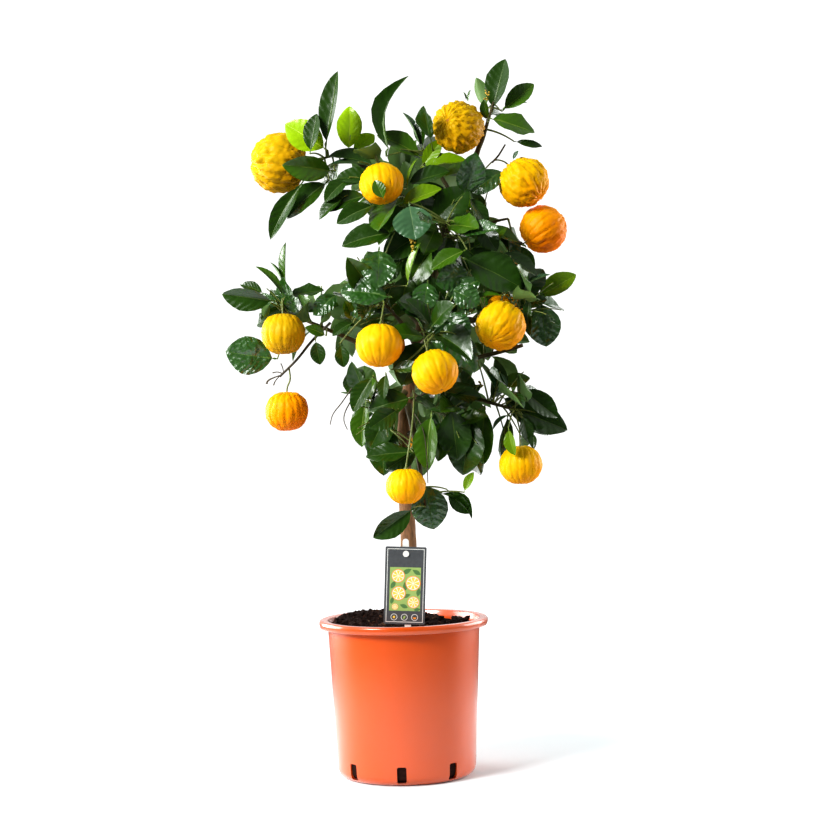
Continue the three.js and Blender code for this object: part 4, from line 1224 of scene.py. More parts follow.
# Leaves read off the photograph: root, tip, turn about their length, shape and colour.
SEEN_LEAVES = {
    "top_left": [
        ((-84, -42, 813), (-71, -42, 913), 35, "slim", "dark"),
        ((-82, -30, 812), (-136, -30, 848), 0, "broad", "young"),
        ((-56, -4, 812), (-54, -8, 872), 5, "crinkled", "young"),
        ((-116, -25, 772), (-161, -25, 701), 15, "slim", "dark"),
        ((-104, -46, 806), (-96, -46, 858), 30, "plain", "dark"),
        ((-74, -15, 787), (-138, -48, 791), -20, "plain", "mid"),
        ((-82, -10, 776), (-138, -22, 729), 25, "plain", "dark"),
    ],
    "top_middle": [
        ((-61, -48, 750), (-95, -55, 723), 40, "plain", "dark"),
        ((-52, 6, 813), (-22, 6, 836), 0, "broad", "young"),
        ((-20, -20, 792), (-81, -18, 810), 50, "plain", "dark"),
        ((-21, -22, 791), (-79, -24, 799), 70, "slim", "pale"),
        ((-54, -45, 775), (-87, -55, 745), 20, "plain", "dark"),
        ((-16, -42, 770), (-72, -46, 776), 30, "plain", "dark"),
        ((-30, -46, 752), (-88, -50, 734), 30, "plain", "dark"),
        ((-22, -58, 738), (-72, -62, 716), 15, "plain", "dark"),
        ((-10, -104, 739), (-21, -104, 764), 0, "broad", "mid"),
        ((19, -52, 757), (31, -52, 797), 70, "slim", "light"),
    ],
    "top_centre": [
        ((-7, -26, 803), (22, -26, 907), 35, "sickle", "dark"),
        ((41, -10, 801), (-17, -14, 835), 30, "plain", "mid"),
        ((38, -20, 788), (64, -24, 823), 10, "plain", "light"),
        ((37, -30, 787), (97, -34, 797), 55, "plain", "light"),
        ((17, -45, 763), (73, -48, 782), 35, "plain", "dark"),
        ((39, -12, 812), (19, -16, 862), 60, "slim", "pale"),
        ((41, -12, 814), (37, -14, 856), 40, "plain", "dark"),
    ],
    "tip": [
        ((132, -8, 859), (148, -8, 929), 30, "plain", "dark"),
        ((124, 8, 866), (114, 8, 907), 150, "plain", "mid"),
        ((145, 0, 861), (187, 0, 897), 15, "plain", "mid"),
        ((124, -20, 846), (120, -30, 872), 30, "plain", "dark"),
        ((143, 22, 866), (179, 22, 878), 75, "slim", "light"),
        ((126, -25, 849), (187, -25, 834), 40, "crinkled", "mid"),
        ((160, 5, 822), (197, 5, 816), 35, "hooked", "dark"),
        ((157, -10, 796), (164, -12, 808), 40, "plain", "pale"),
        ((100, -30, 868), (103, -30, 886), 50, "slim", "mid"),
        ((98, -30, 871), (95, -30, 883), 40, "slim", "mid"),
    ],
    "right_upper": [
        ((157, 15, 689), (184, 15, 655), 25, "plain", "mid"),
        ((98, -35, 679), (145, -35, 708), 25, "plain", "mid"),
        ((148, -2, 784), (102, -12, 756), 10, "crinkled", "dark"),
    ],
    "upper_front": [
        ((12, -64, 722), (56, -66, 704), 25, "plain", "mid"),
        ((66, -28, 760), (100, -28, 730), 25, "plain", "mid"),
        ((8, -62, 735), (62, -66, 758), 40, "plain", "light"),
        ((21, -88, 736), (28, -110, 688), 0, "round", "pale"),
        ((47, -55, 711), (97, -58, 756), 0, "broad", "dark"),
        ((97, -50, 746), (122, -52, 710), 30, "plain", "dark"),
        ((111, -40, 709), (131, -60, 676), 0, "broad", "dark"),
        ((96, -30, 773), (103, -34, 728), 55, "slim", "light"),
        ((92, -98, 675), (46, -100, 652), 30, "plain", "mid"),
        ((44, -34, 706), (-14, -40, 672), 20, "broad", "dark"),
        ((52, -30, 690), (14, -36, 632), 15, "broad", "mid"),
        ((74, -24, 720), (36, -28, 768), 10, "broad", "dark"),
        ((84, -22, 690), (128, -30, 650), 10, "broad", "dark"),
        ((78, -20, 700), (66, -30, 640), 0, "broad", "mid"),
    ],
    "middle_left": [
        ((-72, -40, 563), (-68, -40, 532), 0, "broad", "dark"),
        ((-3, -95, 617), (-68, -95, 629), 15, "crinkled", "dark"),
        ((0, -80, 635), (-38, -80, 663), 25, "plain", "mid"),
        ((-99, -45, 617), (-72, -45, 612), 25, "plain", "mid"),
        ((2, -62, 702), (-66, -66, 688), 25, "plain", "dark"),
        ((-72, -50, 627), (-103, -66, 600), 0, "crinkled", "dark"),
        ((-54, -58, 589), (-81, -62, 573), 25, "plain", "dark"),
        ((-18, -78, 682), (-20, -112, 632), 0, "rumpled", "dark"),
        ((-17, -84, 606), (-64, -80, 602), -20, "crinkled", "dark"),
        ((-55, -70, 591), (-61, -90, 613), 20, "crinkled", "mid"),
        ((-36, -76, 591), (-45, -94, 611), 10, "crinkled", "dark"),
        ((16, -95, 631), (31, -98, 686), 60, "slim", "light"),
        ((14, -38, 672), (-30, -46, 640), 10, "broad", "dark"),
        ((18, -34, 652), (4, -44, 596), 0, "broad", "mid"),
        ((0, -30, 640), (-54, -34, 610), 15, "broad", "dark"),
    ],
    "left": [
        ((-154, -30, 620), (-224, -30, 628), -30, "plain", "dark"),
        ((-141, -5, 615), (-177, -5, 599), 25, "plain", "mid"),
        ((-142, -35, 624), (-176, -35, 667), 55, "slim", "mid"),
        ((-142, -10, 639), (-144, -10, 697), 55, "slim", "mid"),
        ((-141, -20, 626), (-92, -20, 635), 45, "wavy", "dark"),
        ((-156, 0, 546), (-223, -6, 556), -10, "rumpled", "dark"),
        ((-103, -50, 568), (-98, -50, 536), 0, "broad", "dark"),
        ((-146, -12, 645), (-159, -14, 672), 75, "slim", "mid"),
        ((-170, -10, 631), (-201, -8, 645), 30, "plain", "dark"),
        ((-160, -38, 617), (-169, -55, 598), 150, "plain", "mid"),
        ((-83, -48, 610), (-95, -40, 590), 180, "plain", "mid"),
        ((-89, -48, 573), (-114, -62, 584), 10, "plain", "mid"),
    ],
    "right": [
        ((182, -12, 616), (235, -12, 647), 20, "plain", "light"),
        ((187, -40, 612), (192, -40, 552), 10, "rumpled", "dark"),
        ((113, -20, 535), (103, -20, 561), 25, "plain", "mid"),
        ((148, -58, 668), (162, -64, 620), 35, "plain", "dark"),
        ((172, -60, 618), (168, -72, 566), 30, "slim", "dark"),
        ((86, -72, 667), (161, -80, 628), 20, "broad", "dark"),
        ((138, -86, 617), (96, -88, 614), 60, "slim", "mid"),
        ((136, -50, 675), (183, -54, 645), 45, "plain", "dark"),
        ((162, -50, 630), (198, -52, 646), 65, "slim", "pale"),
    ],
    "front": [
        ((42, -90, 638), (36, -112, 600), 0, "rumpled", "dark"),
        ((73, -92, 581), (31, -104, 582), -25, "crinkled", "dark"),
        ((97, -84, 650), (54, -98, 632), -20, "rumpled", "dark"),
        ((103, -86, 608), (78, -98, 594), -20, "crinkled", "dark"),
        ((112, -84, 640), (70, -92, 614), 10, "crinkled", "dark"),
        ((57, -84, 623), (78, -90, 592), 50, "plain", "dark"),
        ((70, -88, 628), (106, -98, 606), 10, "rumpled", "dark"),
        ((60, -90, 596), (92, -104, 566), 0, "rumpled", "dark"),
        ((79, -96, 555), (74, -100, 517), 20, "broad", "dark"),
        ((-6, -122, 526), (30, -136, 530), 30, "plain", "crisp"),
    ],
    "low_left": [
        ((-41, -30, 489), (-50, -30, 429), 25, "plain", "mid"),
        ((4, -20, 431), (-19, -20, 398), 25, "plain", "mid"),
        ((-30, -60, 520), (-58, -66, 476), 20, "plain", "dark"),
        ((-14, -62, 523), (-18, -74, 490), 20, "plain", "dark"),
        ((20, -62, 491), (-37, -66, 478), 20, "broad", "dark"),
        ((-10, -40, 479), (-37, -44, 427), 0, "broad", "dark"),
        ((1, -72, 477), (-35, -90, 454), 0, "broad", "dark"),
        ((18, -66, 422), (-42, -70, 419), 30, "wavy", "dark"),
        ((26, -50, 425), (-18, -54, 400), 20, "broad", "dark"),
    ],
    "low_right": [
        ((157, -45, 500), (206, -45, 462), 20, "plain", "dark"),
        ((138, -24, 478), (219, -26, 445), 15, "wavy", "dark"),
        ((132, -10, 492), (196, -12, 440), 30, "plain", "dark"),
        ((130, 0, 504), (173, 0, 514), 25, "plain", "mid"),
        ((103, -50, 538), (127, -54, 502), 60, "slim", "pale"),
        ((132, -40, 521), (142, -42, 504), 40, "slim", "pale"),
        ((143, -44, 467), (120, -60, 450), 60, "slim", "pale"),
        ((139, -86, 450), (145, -90, 415), 30, "plain", "light"),
        ((172, -50, 442), (172, -60, 422), 10, "plain", "dark"),
        ((159, -48, 466), (168, -54, 429), 15, "plain", "dark"),
    ],
    "low_middle": [
        ((95, -48, 470), (80, -48, 390), 15, "broad", "dark"),
        ((61, -70, 497), (107, -70, 490), 25, "plain", "dark"),
        ((43, -66, 472), (34, -70, 399), 25, "plain", "mid"),
        ((68, -50, 479), (75, -54, 409), 0, "broad", "dark"),
        ((112, -36, 478), (107, -38, 403), 20, "plain", "mid"),
        ((103, -60, 503), (54, -64, 491), 50, "plain", "dark"),
    ],
    "skirt": [
        ((18, -80, 352), (-34, -80, 313), -20, "plain", "dark"),
        ((32, -62, 384), (42, -62, 322), 0, "rumpled", "dark"),
        ((50, -40, 370), (92, -44, 334), 25, "sickle", "dark"),
        ((60, -38, 372), (90, -40, 340), -10, "plain", "dark"),
        ((82, -48, 368), (94, -48, 394), 35, "plain", "light"),
    ],
}
GROWTH_SEED = 7019
SEED_STEP = 613
GOLDEN_ANGLE = math.pi * (3 - math.sqrt(5))
TWIG_ARCHES = (0.12, 0.35, -0.15)
TWIG_RADII = (1.5, 0.9)
TWIG_STEPS = 10
TWIG_PAST_LEAF = 0.5
SHOOT_RADII = (1.2, 0.7)
LEAF_SPACING = 17
LEAF_ROOT = 0.6
LEAF_TILT = 0.6
LEAF_SHOULDERS = ((0.28, 0.19), (0.68, 0.175))
BLADE_FACES = ((0, 2, 4, 1), (0, 1, 5, 3))
LEAF_FOLD = 0.07
PETIOLE = 8
# A leaf stops this short of the edge of its space, and keeps at least this share of its length.
SHY = 4
SHORTEST_LEAF = 0.5
FRUIT_CLEAR = 1.5
LIMB_CLEAR = 1.5
# Two blades are tested when their middles are nearer than this share of both lengths.
CROWDED = 0.55
SIDE_LEAF = {"forward": 0.6, "least": 0.68, "spread": 0.3}
FILL_LEAF = {
    "along": 0.85, "forward": 0.95, "back": 1.45, "sway": 0.2, "most": 0.98, "turn": 0.5, "outwards": 0.35,
    "least": 0.85, "spread": 0.3,
}
# How much leaves face out, to the front or back, and up, and how far back the front ones go.
FACING = {"out": 0.5, "front": 0.5, "up": 0.55, "middle": 25}
# Between these heights the way out of the crown is taken from the trunk.
CROWN_AXIS = (400, 800)
SHOOTS = 11
FEW_SHOOTS = {"tip": 0, "top_centre": 3, "top_left": 0, "skirt": 0, "left": 4, "right_upper": 5}
BARE_TWIGS = ("tip", "top_left", "skirt", "left")
SHOOT = {
    "start": 0.7, "along": 0.8, "turn": 1.7, "forward": 0.9, "back": 1.1, "outwards": 0.5, "up": 0.15,
    "arch": 0.12, "inside": 2, "limb_clear": 1,
}
SHOOT_LENGTH = (32, 62)
SHOOT_LEAVES = 5
SHOOT_LEAF = (0.6, 0.95)
SHOOT_LEAFY = 0.72
SHOOT_LEAVES_FORWARD = (0.95, 0.55)
REACH = [np.array(corner) / MM for corner in cad_box]
CAMERA_MM = Vector(CAMERA_AT) / MM
# Open sky between the leaves as the photograph shows it: x, z and radius in the plane of the trunk.
SKY = [
    (-150, 877, 28), (-112, 885, 20), (-45, 892, 28), (-42, 853, 7), (9, 868, 9), (58, 890, 26),
    (102, 905, 14), (167, 925, 18), (207, 862, 22), (150, 815, 9), (132, 812, 10), (128, 790, 8),
    (215, 815, 20), (232, 745, 25), (142, 752, 15), (148, 722, 13), (185, 668, 11), (215, 670, 20),
    (89, 716, 8), (248, 612, 25), (222, 577, 22), (176, 543, 13), (203, 525, 22), (160, 531, 10),
    (93, 588, 7), (228, 490, 20), (205, 420, 22), (118, 402, 12), (125, 366, 26), (61, 392, 13),
    (64, 348, 7), (-45, 372, 28), (-66, 405, 20), (-84, 440, 26), (-90, 492, 22), (-86, 517, 11),
    (-165, 526, 13), (-195, 520, 25), (-205, 480, 25), (-104, 465, 13), (-200, 592, 12), (-245, 592, 15),
    (-207, 668, 20), (-192, 695, 22), (-110, 677, 34), (-114, 716, 14), (-80, 657, 14), (-200, 745, 34),
    (-82, 597, 6), (-225, 800, 40), (170, 735, 8),
]
sky = np.array(SKY, float)
limb_lines = [(trunk_line, trunk_radii), *wood]
limb_points = np.array([p for line, _ in limb_lines for p in line], float)
limb_radii = np.array([r for _, radii in limb_lines for r in radii], float)
fruit_centres = np.array([fruit["centre"] for fruit in fruits], float)
fruit_radii = np.array([fruit["radius"] for fruit in fruits], float) + FRUIT_CLEAR
# How much of a leaf may hide what shows in front, and how far past a point that is looked for.
COVERED = 0.2
LOOK_PAST = 0.5
# Nearer to the front than this the leaves are blistered.
PUCKERED_FROM = -60
# A leaf whose side rises less than this turns by its left and right, not by its upper edge.
LEVEL = 0.2
# The heights between which the trunk shows, half its width there, and how far back fruit still show.
SEEN_TRUNK = (300, 505)
SEEN_TRUNK_HALF = 9
SHOWN_UP_TO = 30
leaves = []
twigs = {"green": [], "brown": []}


def in_sky(points):
    """Whether any point shows in open sky from where the photograph was taken."""
    away = CAMERA_MM.y / (CAMERA_MM.y - points[:, 1])
    seen_x = CAMERA_MM.x + (points[:, 0] - CAMERA_MM.x) * away
    seen_z = CAMERA_MM.z + (points[:, 2] - CAMERA_MM.z) * away
    gap = np.hypot(seen_x[:, None] - sky[:, 0], seen_z[:, None] - sky[:, 1]) - sky[:, 2]
    return gap.min() < 0


def gap_to(points, centres, radii):
    return (np.linalg.norm(points[:, None] - centres, axis=2) - radii).min()


def leaf_points(leaf, start=0.0):
    """Root, tip, then left and right at each shoulder."""
    root, way, face, length = leaf["root"], leaf["way"], leaf["face"], leaf["length"]
    side = way.cross(face)
    root = root + way * start
    length = length - start
    points = [root, root + way * length]
    for share, across in LEAF_SHOULDERS:
        middle = root + way * (length * share) + face * (length * LEAF_FOLD)
        points += [middle + side * (length * across), middle - side * (length * across)]
    return points


def blade_tree(leaf):
    return BVHTree.FromPolygons(leaf_points(leaf, PETIOLE), BLADE_FACES)


def outwards(p):
    """The way out of the crown at a place, level."""
    out = p - trunk_at(min(max(p.z, CROWN_AXIS[0]), CROWN_AXIS[1]))
    out.z = 0
    return out.normalized()


def leaf_facing(p):
    """Leaves look up and out, those on the front half more to the front, those behind more to the back."""
    front = -FACING["front"] if p.y < FACING["middle"] else FACING["front"]
    return outwards(p) * FACING["out"] + Vector((0, front, FACING["up"]))


def square_to(way, face):
    return (face - way * face.dot(way)).normalized()


def keep(leaf):
    leaf["middle"] = leaf["root"] + leaf["way"] * leaf["length"] / 2
    leaf["tree"] = blade_tree(leaf)
    leaves.append(leaf)


def crowded(leaf):
    """Whether its blade would pass through one that is already there."""
    middle = leaf["root"] + leaf["way"] * leaf["length"] / 2
    tree = None
    for other in leaves:
        if (other["middle"] - middle).length < (other["length"] + leaf["length"]) * CROWDED:
            tree = tree or blade_tree(leaf)
            if tree.overlap(other["tree"]):
                return True
    return False


def shown_in_front():
    """What the photograph shows in front, leaves and fruit, as one tree of faces to look through."""
    points, faces = [], []
    for leaf in leaves:
        start = len(points)
        points += leaf_points(leaf, PETIOLE)
        faces += [tuple(start + k for k in face) for face in BLADE_FACES]
    for fruit in fruits:
        if fruit["centre"].y < SHOWN_UP_TO:
            start = len(points)
            ring = [2 * math.pi * k / 12 for k in range(12)]
            radius = fruit["radius"]
            points += [fruit["centre"] + Vector((math.cos(a), 0, math.sin(a))) * radius for a in ring]
            faces.append(tuple(range(start, start + 12)))
    start = len(points)
    points += [trunk_at(z) + Vector((side * SEEN_TRUNK_HALF, 0, 0)) for z in SEEN_TRUNK for side in (-1, 1)]
    faces.append((start, start + 1, start + 3, start + 2))
    return BVHTree.FromPolygons(points, faces)


def covers(leaf):
    """Whether a leaf would hide more than a little of what the photograph shows in front."""
    points = leaf_points(leaf)
    points += [(a + b) / 2 for a, b in zip(points[1:], points[2:] + points[1:2])]
    hits = 0
    for p in points[1:]:
        away = (p - CAMERA_MM).normalized()
        hits += shown.ray_cast(p + away * LOOK_PAST, away)[0] is not None
    return hits > COVERED * (len(points) - 1)


def any_way(draw):
    """Off to any side, by up to a half along each axis."""
    return Vector((next(draw) - 0.5, next(draw) - 0.5, next(draw) - 0.5))


def add_leaf(index, draw, root, way, length, kind, shape):
    """A leaf by the rule, left out where it would leave its space, show in the sky or touch something."""
    if root.y < PUCKERED_FROM and kind == "mid":
        kind, shape = "crisp", "crinkled"
    tilt = any_way(draw) * LEAF_TILT
    face = square_to(way, leaf_facing(root) + tilt)
    leaf = {"root": root, "way": way, "face": face, "length": length, "kind": kind, "shape": shape}
    points = np.array(leaf_points(leaf), float)
    if own_depth(index, points).min() < CLEARANCE or in_sky(points[1:]):
        return False
    if (points < REACH[0]).any() or (points > REACH[1]).any():
        return False
    halves = np.vstack([points[1:], (points[1:] + points[0]) / 2])
    if gap_to(halves, fruit_centres, fruit_radii) < 0:
        return False
    if gap_to(points[1:], limb_points, limb_radii + LIMB_CLEAR) < 0:
        return False
    if covers(leaf) or crowded(leaf):
        return False
    keep(leaf)
    return True


def spiral_way(tangent, angle, forward):
    """The way of a leaf that leaves a stem at an angle round it, leaning forward along it."""
    level = tangent.cross(UP).normalized()
    across = level.cross(tangent)
    way = level * math.cos(angle) + across * math.sin(angle)
    return way * math.sqrt(1 - forward * forward) + tangent * forward


def nearest_on(curve, target):
    return min((point_on(curve, k / 40) for k in range(5, 41)), key=lambda p: (p - target).length)


def space_along(index, start, way):
    """How far it is from a place in a mass's space to the edge of that space."""
    across = np.delete(sites, index, axis=0) - sites[index]
    slope = across @ np.array(way)
    middle = sites[index] + across / 2
    far = ((middle - np.array(start)) * across).sum(1)
    return min([f / s for f, s in zip(far, slope) if s > 0], default=math.inf)


SHAPE_DEAL = ["plain", "broad", "wavy", "cupped", "broad", "plain", "crinkled", "hooked"]
KIND_DEAL = ["dark", "crisp", "mid", "dark", "mid", "crisp", "dark", "mid"]


def dealt(draw, deal):
    return deal[int(next(draw) * len(deal)) % len(deal)]


def twig_to(start, end, radii):
    """A green twig that arches round the fruit, or None."""
    for arch in TWIG_ARCHES:
        curve = bend(start, end, arch)
        line = drawn(curve, TWIG_STEPS)
        points = np.array(line[2:], float)
        if gap_to(points, fruit_centres, fruit_radii) > radii[0]:
            twigs["green"].append(tapered(line, radii))
            return curve
    return None


def seen_leaf(root, tip, turn, shape, kind):
    """A leaf of the photograph. Turned by 0 it shows its broad face to the front, by 180 its underside."""
    root, tip = Vector(root), Vector(tip)
    way = (tip - root).normalized()
    front = square_to(way, Vector((0, -1, 0)))
    across = way.cross(front)
    if across.z < -LEVEL or (abs(across.z) <= LEVEL and across.x > 0):
        across = -across
    turn = math.radians(turn)
    face = front * math.cos(turn) + across * math.sin(turn)
    if kind == "dark" and shape in ("rumpled", "crinkled"):
        kind = "crisp"
    length = (tip - root).length
    return {"root": root, "way": way, "face": face, "length": length, "kind": kind, "shape": shape}


draws = [random_from(GROWTH_SEED + SEED_STEP * index) for index in range(len(MASSES))]
for fruit in fruits:
    pole = fruit["radius"] * flattened(fruit["wart"]) * (1 - STALK_DIMPLE[0])
    end = fruit["centre"] + fruit["way"] * (STALK_SUNK - pole)
    seen_stalk = SEEN_STALKS.get(tuple(int(c) for c in fruit["centre"]))
    if seen_stalk:
        line = centripetal([*seen_stalk, end], STALK_STEPS // 2)
    else:
        start = end - fruit["way"] * STALK_HANG + UP * STALK_HANG / 3
        line = drawn((start, end - fruit["way"] * STALK_HANG * STALK_BEND, end), STALK_STEPS)
        stem = nearest_on(fruit["mass"]["stem"], start)
        twigs["green"].append(tapered(drawn(bend(stem, start, STALK_ARCH), STALK_TWIG_STEPS), TWIG_RADII))
    twigs["green"].append((line, [STALK_RADIUS] * (len(line) - len(CALYX)) + list(CALYX)))
for points, radii in SEEN_TWIGS:
    twigs["brown"].append(tapered(centripetal(points, 5), radii))
for name, rows in SEEN_LEAVES.items():
    for row in rows:
        keep(seen_leaf(*row))
shown = shown_in_front()
for index, (name, mass) in enumerate(MASSES.items()):
    draw = draws[index]
    for row in SEEN_LEAVES.get(name, []):
        leaf = seen_leaf(*row)
        start = nearest_on(mass["stem"], leaf["root"])
        end = leaf["root"] + (leaf["root"] - start).normalized() * TWIG_PAST_LEAF
        twig = twig_to(start, end, TWIG_RADII)
        if twig is None:
            continue
        count = 0 if name in BARE_TWIGS else int((end - start).length / LEAF_SPACING)
        phase = 2 * math.pi * next(draw)
        kind = dealt(draw, KIND_DEAL)
        for k in range(count):
            share = 1 - (k + 0.5) / (count + 0.5)
            way = spiral_way(heading(twig, share), phase + k * GOLDEN_ANGLE, SIDE_LEAF["forward"])
            length = mass["leaf"] * (SIDE_LEAF["least"] + SIDE_LEAF["spread"] * next(draw))
            root = point_on(twig, share) + way * LEAF_ROOT
            add_leaf(index, draw, root, way, length, kind, dealt(draw, SHAPE_DEAL))
for index, mass in enumerate(MASSES.values()):
    draw = draws[index]
    stem, fill = mass["stem"], mass["fill"]
    for k in range(fill):
        share = (k + 0.5) / fill
        forward = FILL_LEAF["forward"] - FILL_LEAF["back"] * share + FILL_LEAF["sway"] * (next(draw) - 0.5)
        angle = k * GOLDEN_ANGLE + index + FILL_LEAF["turn"] * next(draw)
        length = mass["leaf"] * (FILL_LEAF["least"] + FILL_LEAF["spread"] * next(draw))
        root = point_on(stem, 1 - FILL_LEAF["along"] * share)
        way = spiral_way(heading(stem, 1 - share), angle, min(forward, FILL_LEAF["most"]))
        way = (way + outwards(root) * FILL_LEAF["outwards"]).normalized()
        room = max(space_along(index, root, way) - SHY, length * SHORTEST_LEAF)
        kind = dealt(draw, KIND_DEAL)
        add_leaf(index, draw, root + way * LEAF_ROOT, way, min(length, room), kind, dealt(draw, SHAPE_DEAL))
for index, (name, mass) in enumerate(MASSES.items()):
    draw = draws[index]
    stem = mass["stem"]
    shoots = FEW_SHOOTS.get(name, SHOOTS)
    for k in range(shoots):
        share = (k + SHOOT["start"]) / shoots
        angle = k * GOLDEN_ANGLE * SHOOT["turn"] + index * 2 + next(draw)
        along = 1 - SHOOT["along"] * share
        root = point_on(stem, along)
        way = spiral_way(heading(stem, along), angle, SHOOT["forward"] - SHOOT["back"] * share)
        way = (way + outwards(root) * SHOOT["outwards"] + UP * SHOOT["up"]).normalized()
        length = between(SHOOT_LENGTH, next(draw))
        end = root + way * length
        line = np.array(drawn(bend(root, end, SHOOT["arch"]), 6)[2:], float)
        kind = dealt(draw, KIND_DEAL)
        if own_depth(index, line).min() < SHOOT["inside"] or in_sky(line):
            continue
        if gap_to(line, limb_points, limb_radii + SHOOT["limb_clear"]) < 0:
            continue
        twig = twig_to(root, end, SHOOT_RADII)
        if twig is None:
            continue
        for j in range(SHOOT_LEAVES + 1):
            along = 1 - SHOOT_LEAFY * j / SHOOT_LEAVES
            forward = SHOOT_LEAVES_FORWARD[min(j, 1)]
            leaf_way = spiral_way(heading(twig, along), j * GOLDEN_ANGLE + k, forward)
            size = between(SHOOT_LEAF, next(draw))
            place = point_on(twig, along) + leaf_way * LEAF_ROOT
            add_leaf(index, draw, place, leaf_way, mass["leaf"] * size, kind, dealt(draw, SHAPE_DEAL))

green_wood = Finish("green_twigs", {"Roughness": 0.5})
green_wood.feed({"Base Color": green_wood.mottle(120, 2, *GREEN_WOOD)})
green_twigs = tubes("green_twigs", twigs["green"], green_wood, sides=6)
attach(green_twigs, "root")

brown_wood = Finish("brown_twigs", {"Roughness": 0.7})
brown_wood.feed({"Base Color": brown_wood.mottle(150, 3, *BROWN_WOOD)})
brown_twigs = tubes("brown_twigs", twigs["brown"], brown_wood, sides=8, relief=0.3 * MM, grain=500.0)
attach(brown_twigs, "root")

bud_finish = Finish("flower_buds", {"Specular IOR Level": 0.3})
bud_finish.feed({
    "Base Color": bud_finish.mottle(300, 2, *BUD_COLOURS),
    "Roughness": bud_finish.grain(500, 2) * 0.2 + 0.5,
})
bud_draw = random_from(BUD_SEED)
clusters = bmesh.new()
for centre, size in BUDS:
    for k in range(BUDS_IN_A_CLUSTER):
        place = Matrix.Translation((Vector(centre) + any_way(bud_draw) * size) * MM)
        bmesh.ops.create_icosphere(clusters, subdivisions=2, radius=size * BUD_SIZE * MM, matrix=place)
buds = new_piece("flower_buds", [], [], [bud_finish])
clusters.to_mesh(buds.data)
clusters.free()
buds.data.shade_smooth()
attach(buds, "root")

# Each shape's half width, fold, arch, wave of the edge, sideways bend and pucker, for a leaf of length 1.
SHAPES = {
    "plain": (0.235, 0.06, 0.12, 0.012, 0.02, 0.015),
    "broad": (0.31, 0.05, 0.10, 0.025, 0.0, 0.03),
    "rumpled": (0.38, 0.02, 0.16, 0.03, 0.0, 0.09),
    "round": (0.47, 0.03, 0.05, 0.01, 0.0, 0.05),
    "slim": (0.14, 0.05, 0.12, 0.0, 0.03, 0.0),
    "sickle": (0.115, 0.07, 0.06, 0.01, -0.18, 0.0),
    "hooked": (0.18, 0.07, 0.10, 0.01, 0.12, 0.0),
    "wavy": (0.23, 0.04, 0.10, 0.05, 0.0, 0.01),
    "crinkled": (0.28, 0.03, 0.18, 0.035, 0.02, 0.06),
    "cupped": (0.25, 0.12, 0.2, 0.01, -0.04, 0.01),
}
LEAF_ROUNDING = 0.8
LEAST_WIDTHS = (0.006, 0.002)
ARCH_START = 0.35
EDGE_WAVES = 13
PUCKER_FINENESS = (16, 9, 40)
HALFWAY = 0.52
HALFWAY_LIFT = 0.1
LEAF_STATIONS = (0.1, 0.16, 0.25, 0.37, 0.51, 0.65, 0.78, 0.89, 0.96, 1.0)
WING = ((0.0, 0.008), (0.055, 0.022), (0.1, 0.008))
RIB_SHARE = 0.012
RIB_MOST = 0.45
LEAF_THICKNESS = 0.006
KEEL = 0.016
KEEL_FADE = 0.6


def leaf_shape(name, width, fold, arch, wave, sideways, pucker):
    """A leaf of length 1 along +Y, its upper face to +Z, as a closed thin blade with a rib and a keel.

    Its quads split along the same diagonals above and below, so that neither face comes through the other.
    """
    stations = [(y, w, 0.0) for y, w in WING[:-1]]
    for y in LEAF_STATIONS:
        share = (y - LEAF_STATIONS[0]) / (1 - LEAF_STATIONS[0])
        blade = (4 * share * (1 - share)) ** LEAF_ROUNDING
        stations.append((y, max(LEAST_WIDTHS[y == 1], width * blade), share))
    verts, uvs = [], []
    for y, half_width, share in stations:
        drop = -arch * (share ** 2 - ARCH_START * share)
        bow = sideways * math.sin(math.pi * share)
        rib = min(RIB_SHARE * (1.2 - share), half_width * RIB_MOST)
        row = []
        inner = half_width * HALFWAY
        for k, x in enumerate((-half_width, -inner, -rib, rib, inner, half_width)):
            lift = fold * abs(x) / width * 2 * min(1, half_width / (0.3 * width))
            if k in (1, 4):
                lift += HALFWAY_LIFT * half_width
            if k in (0, 5):
                lift += wave * math.sin(share * EDGE_WAVES + (2 if k else 0)) * half_width / width
            spot = Vector([a * b for a, b in zip((x, y, width), PUCKER_FINENESS)])
            lift += pucker * noise.noise(spot) * half_width / width
            row.append((x + bow, y, drop + lift))
        under = [(row[k][0], y, row[k][2] - LEAF_THICKNESS) for k in (4, 1)]
        keel = (bow, y, (row[2][2] + row[3][2]) / 2 - KEEL * (1 - KEEL_FADE * share))
        verts += [*row, under[0], keel, under[1]]
        uvs += [(0.5 + (p[0] - bow) / (2 * width + 0.02), y) for p in (*row, under[0], keel, under[1])]
    ring = len(verts) // len(stations)
    faces, parts = [], []
    for i in range(len(stations) - 1):
        a, b = ring * i, ring * (i + 1)
        for k in range(ring):
            after = (k + 1) % ring
            quad = (a + k, a + after, b + after, b + k)
            faces.append(quad if k < 5 else (*quad[1:], quad[0]))
            stalk = i < len(WING) - 1
            parts.append(2 if k > 4 else 1 if k == 2 or stalk else 0)
    end = ring * (len(stations) - 1)
    faces.append(tuple(range(ring - 1, -1, -1)))
    faces.append(tuple(range(end, end + ring)))
    parts += [1, 1]
    made = new_piece(name, verts, faces)
    mark(made.data, "part", "INT", "FACE", parts)
    layer = made.data.uv_layers.new(name="UVMap")
    for loop in made.data.loops:
        layer.data[loop.index].uv = uvs[loop.vertex_index]
    rim = {frozenset((ring * i + k, ring * (i + 1) + k)) for i in range(len(stations) - 1) for k in (0, 5)}
    mark(made.data, "sharp_edge", "BOOLEAN", "EDGE", [frozenset(e.vertices) in rim for e in made.data.edges])
    return made


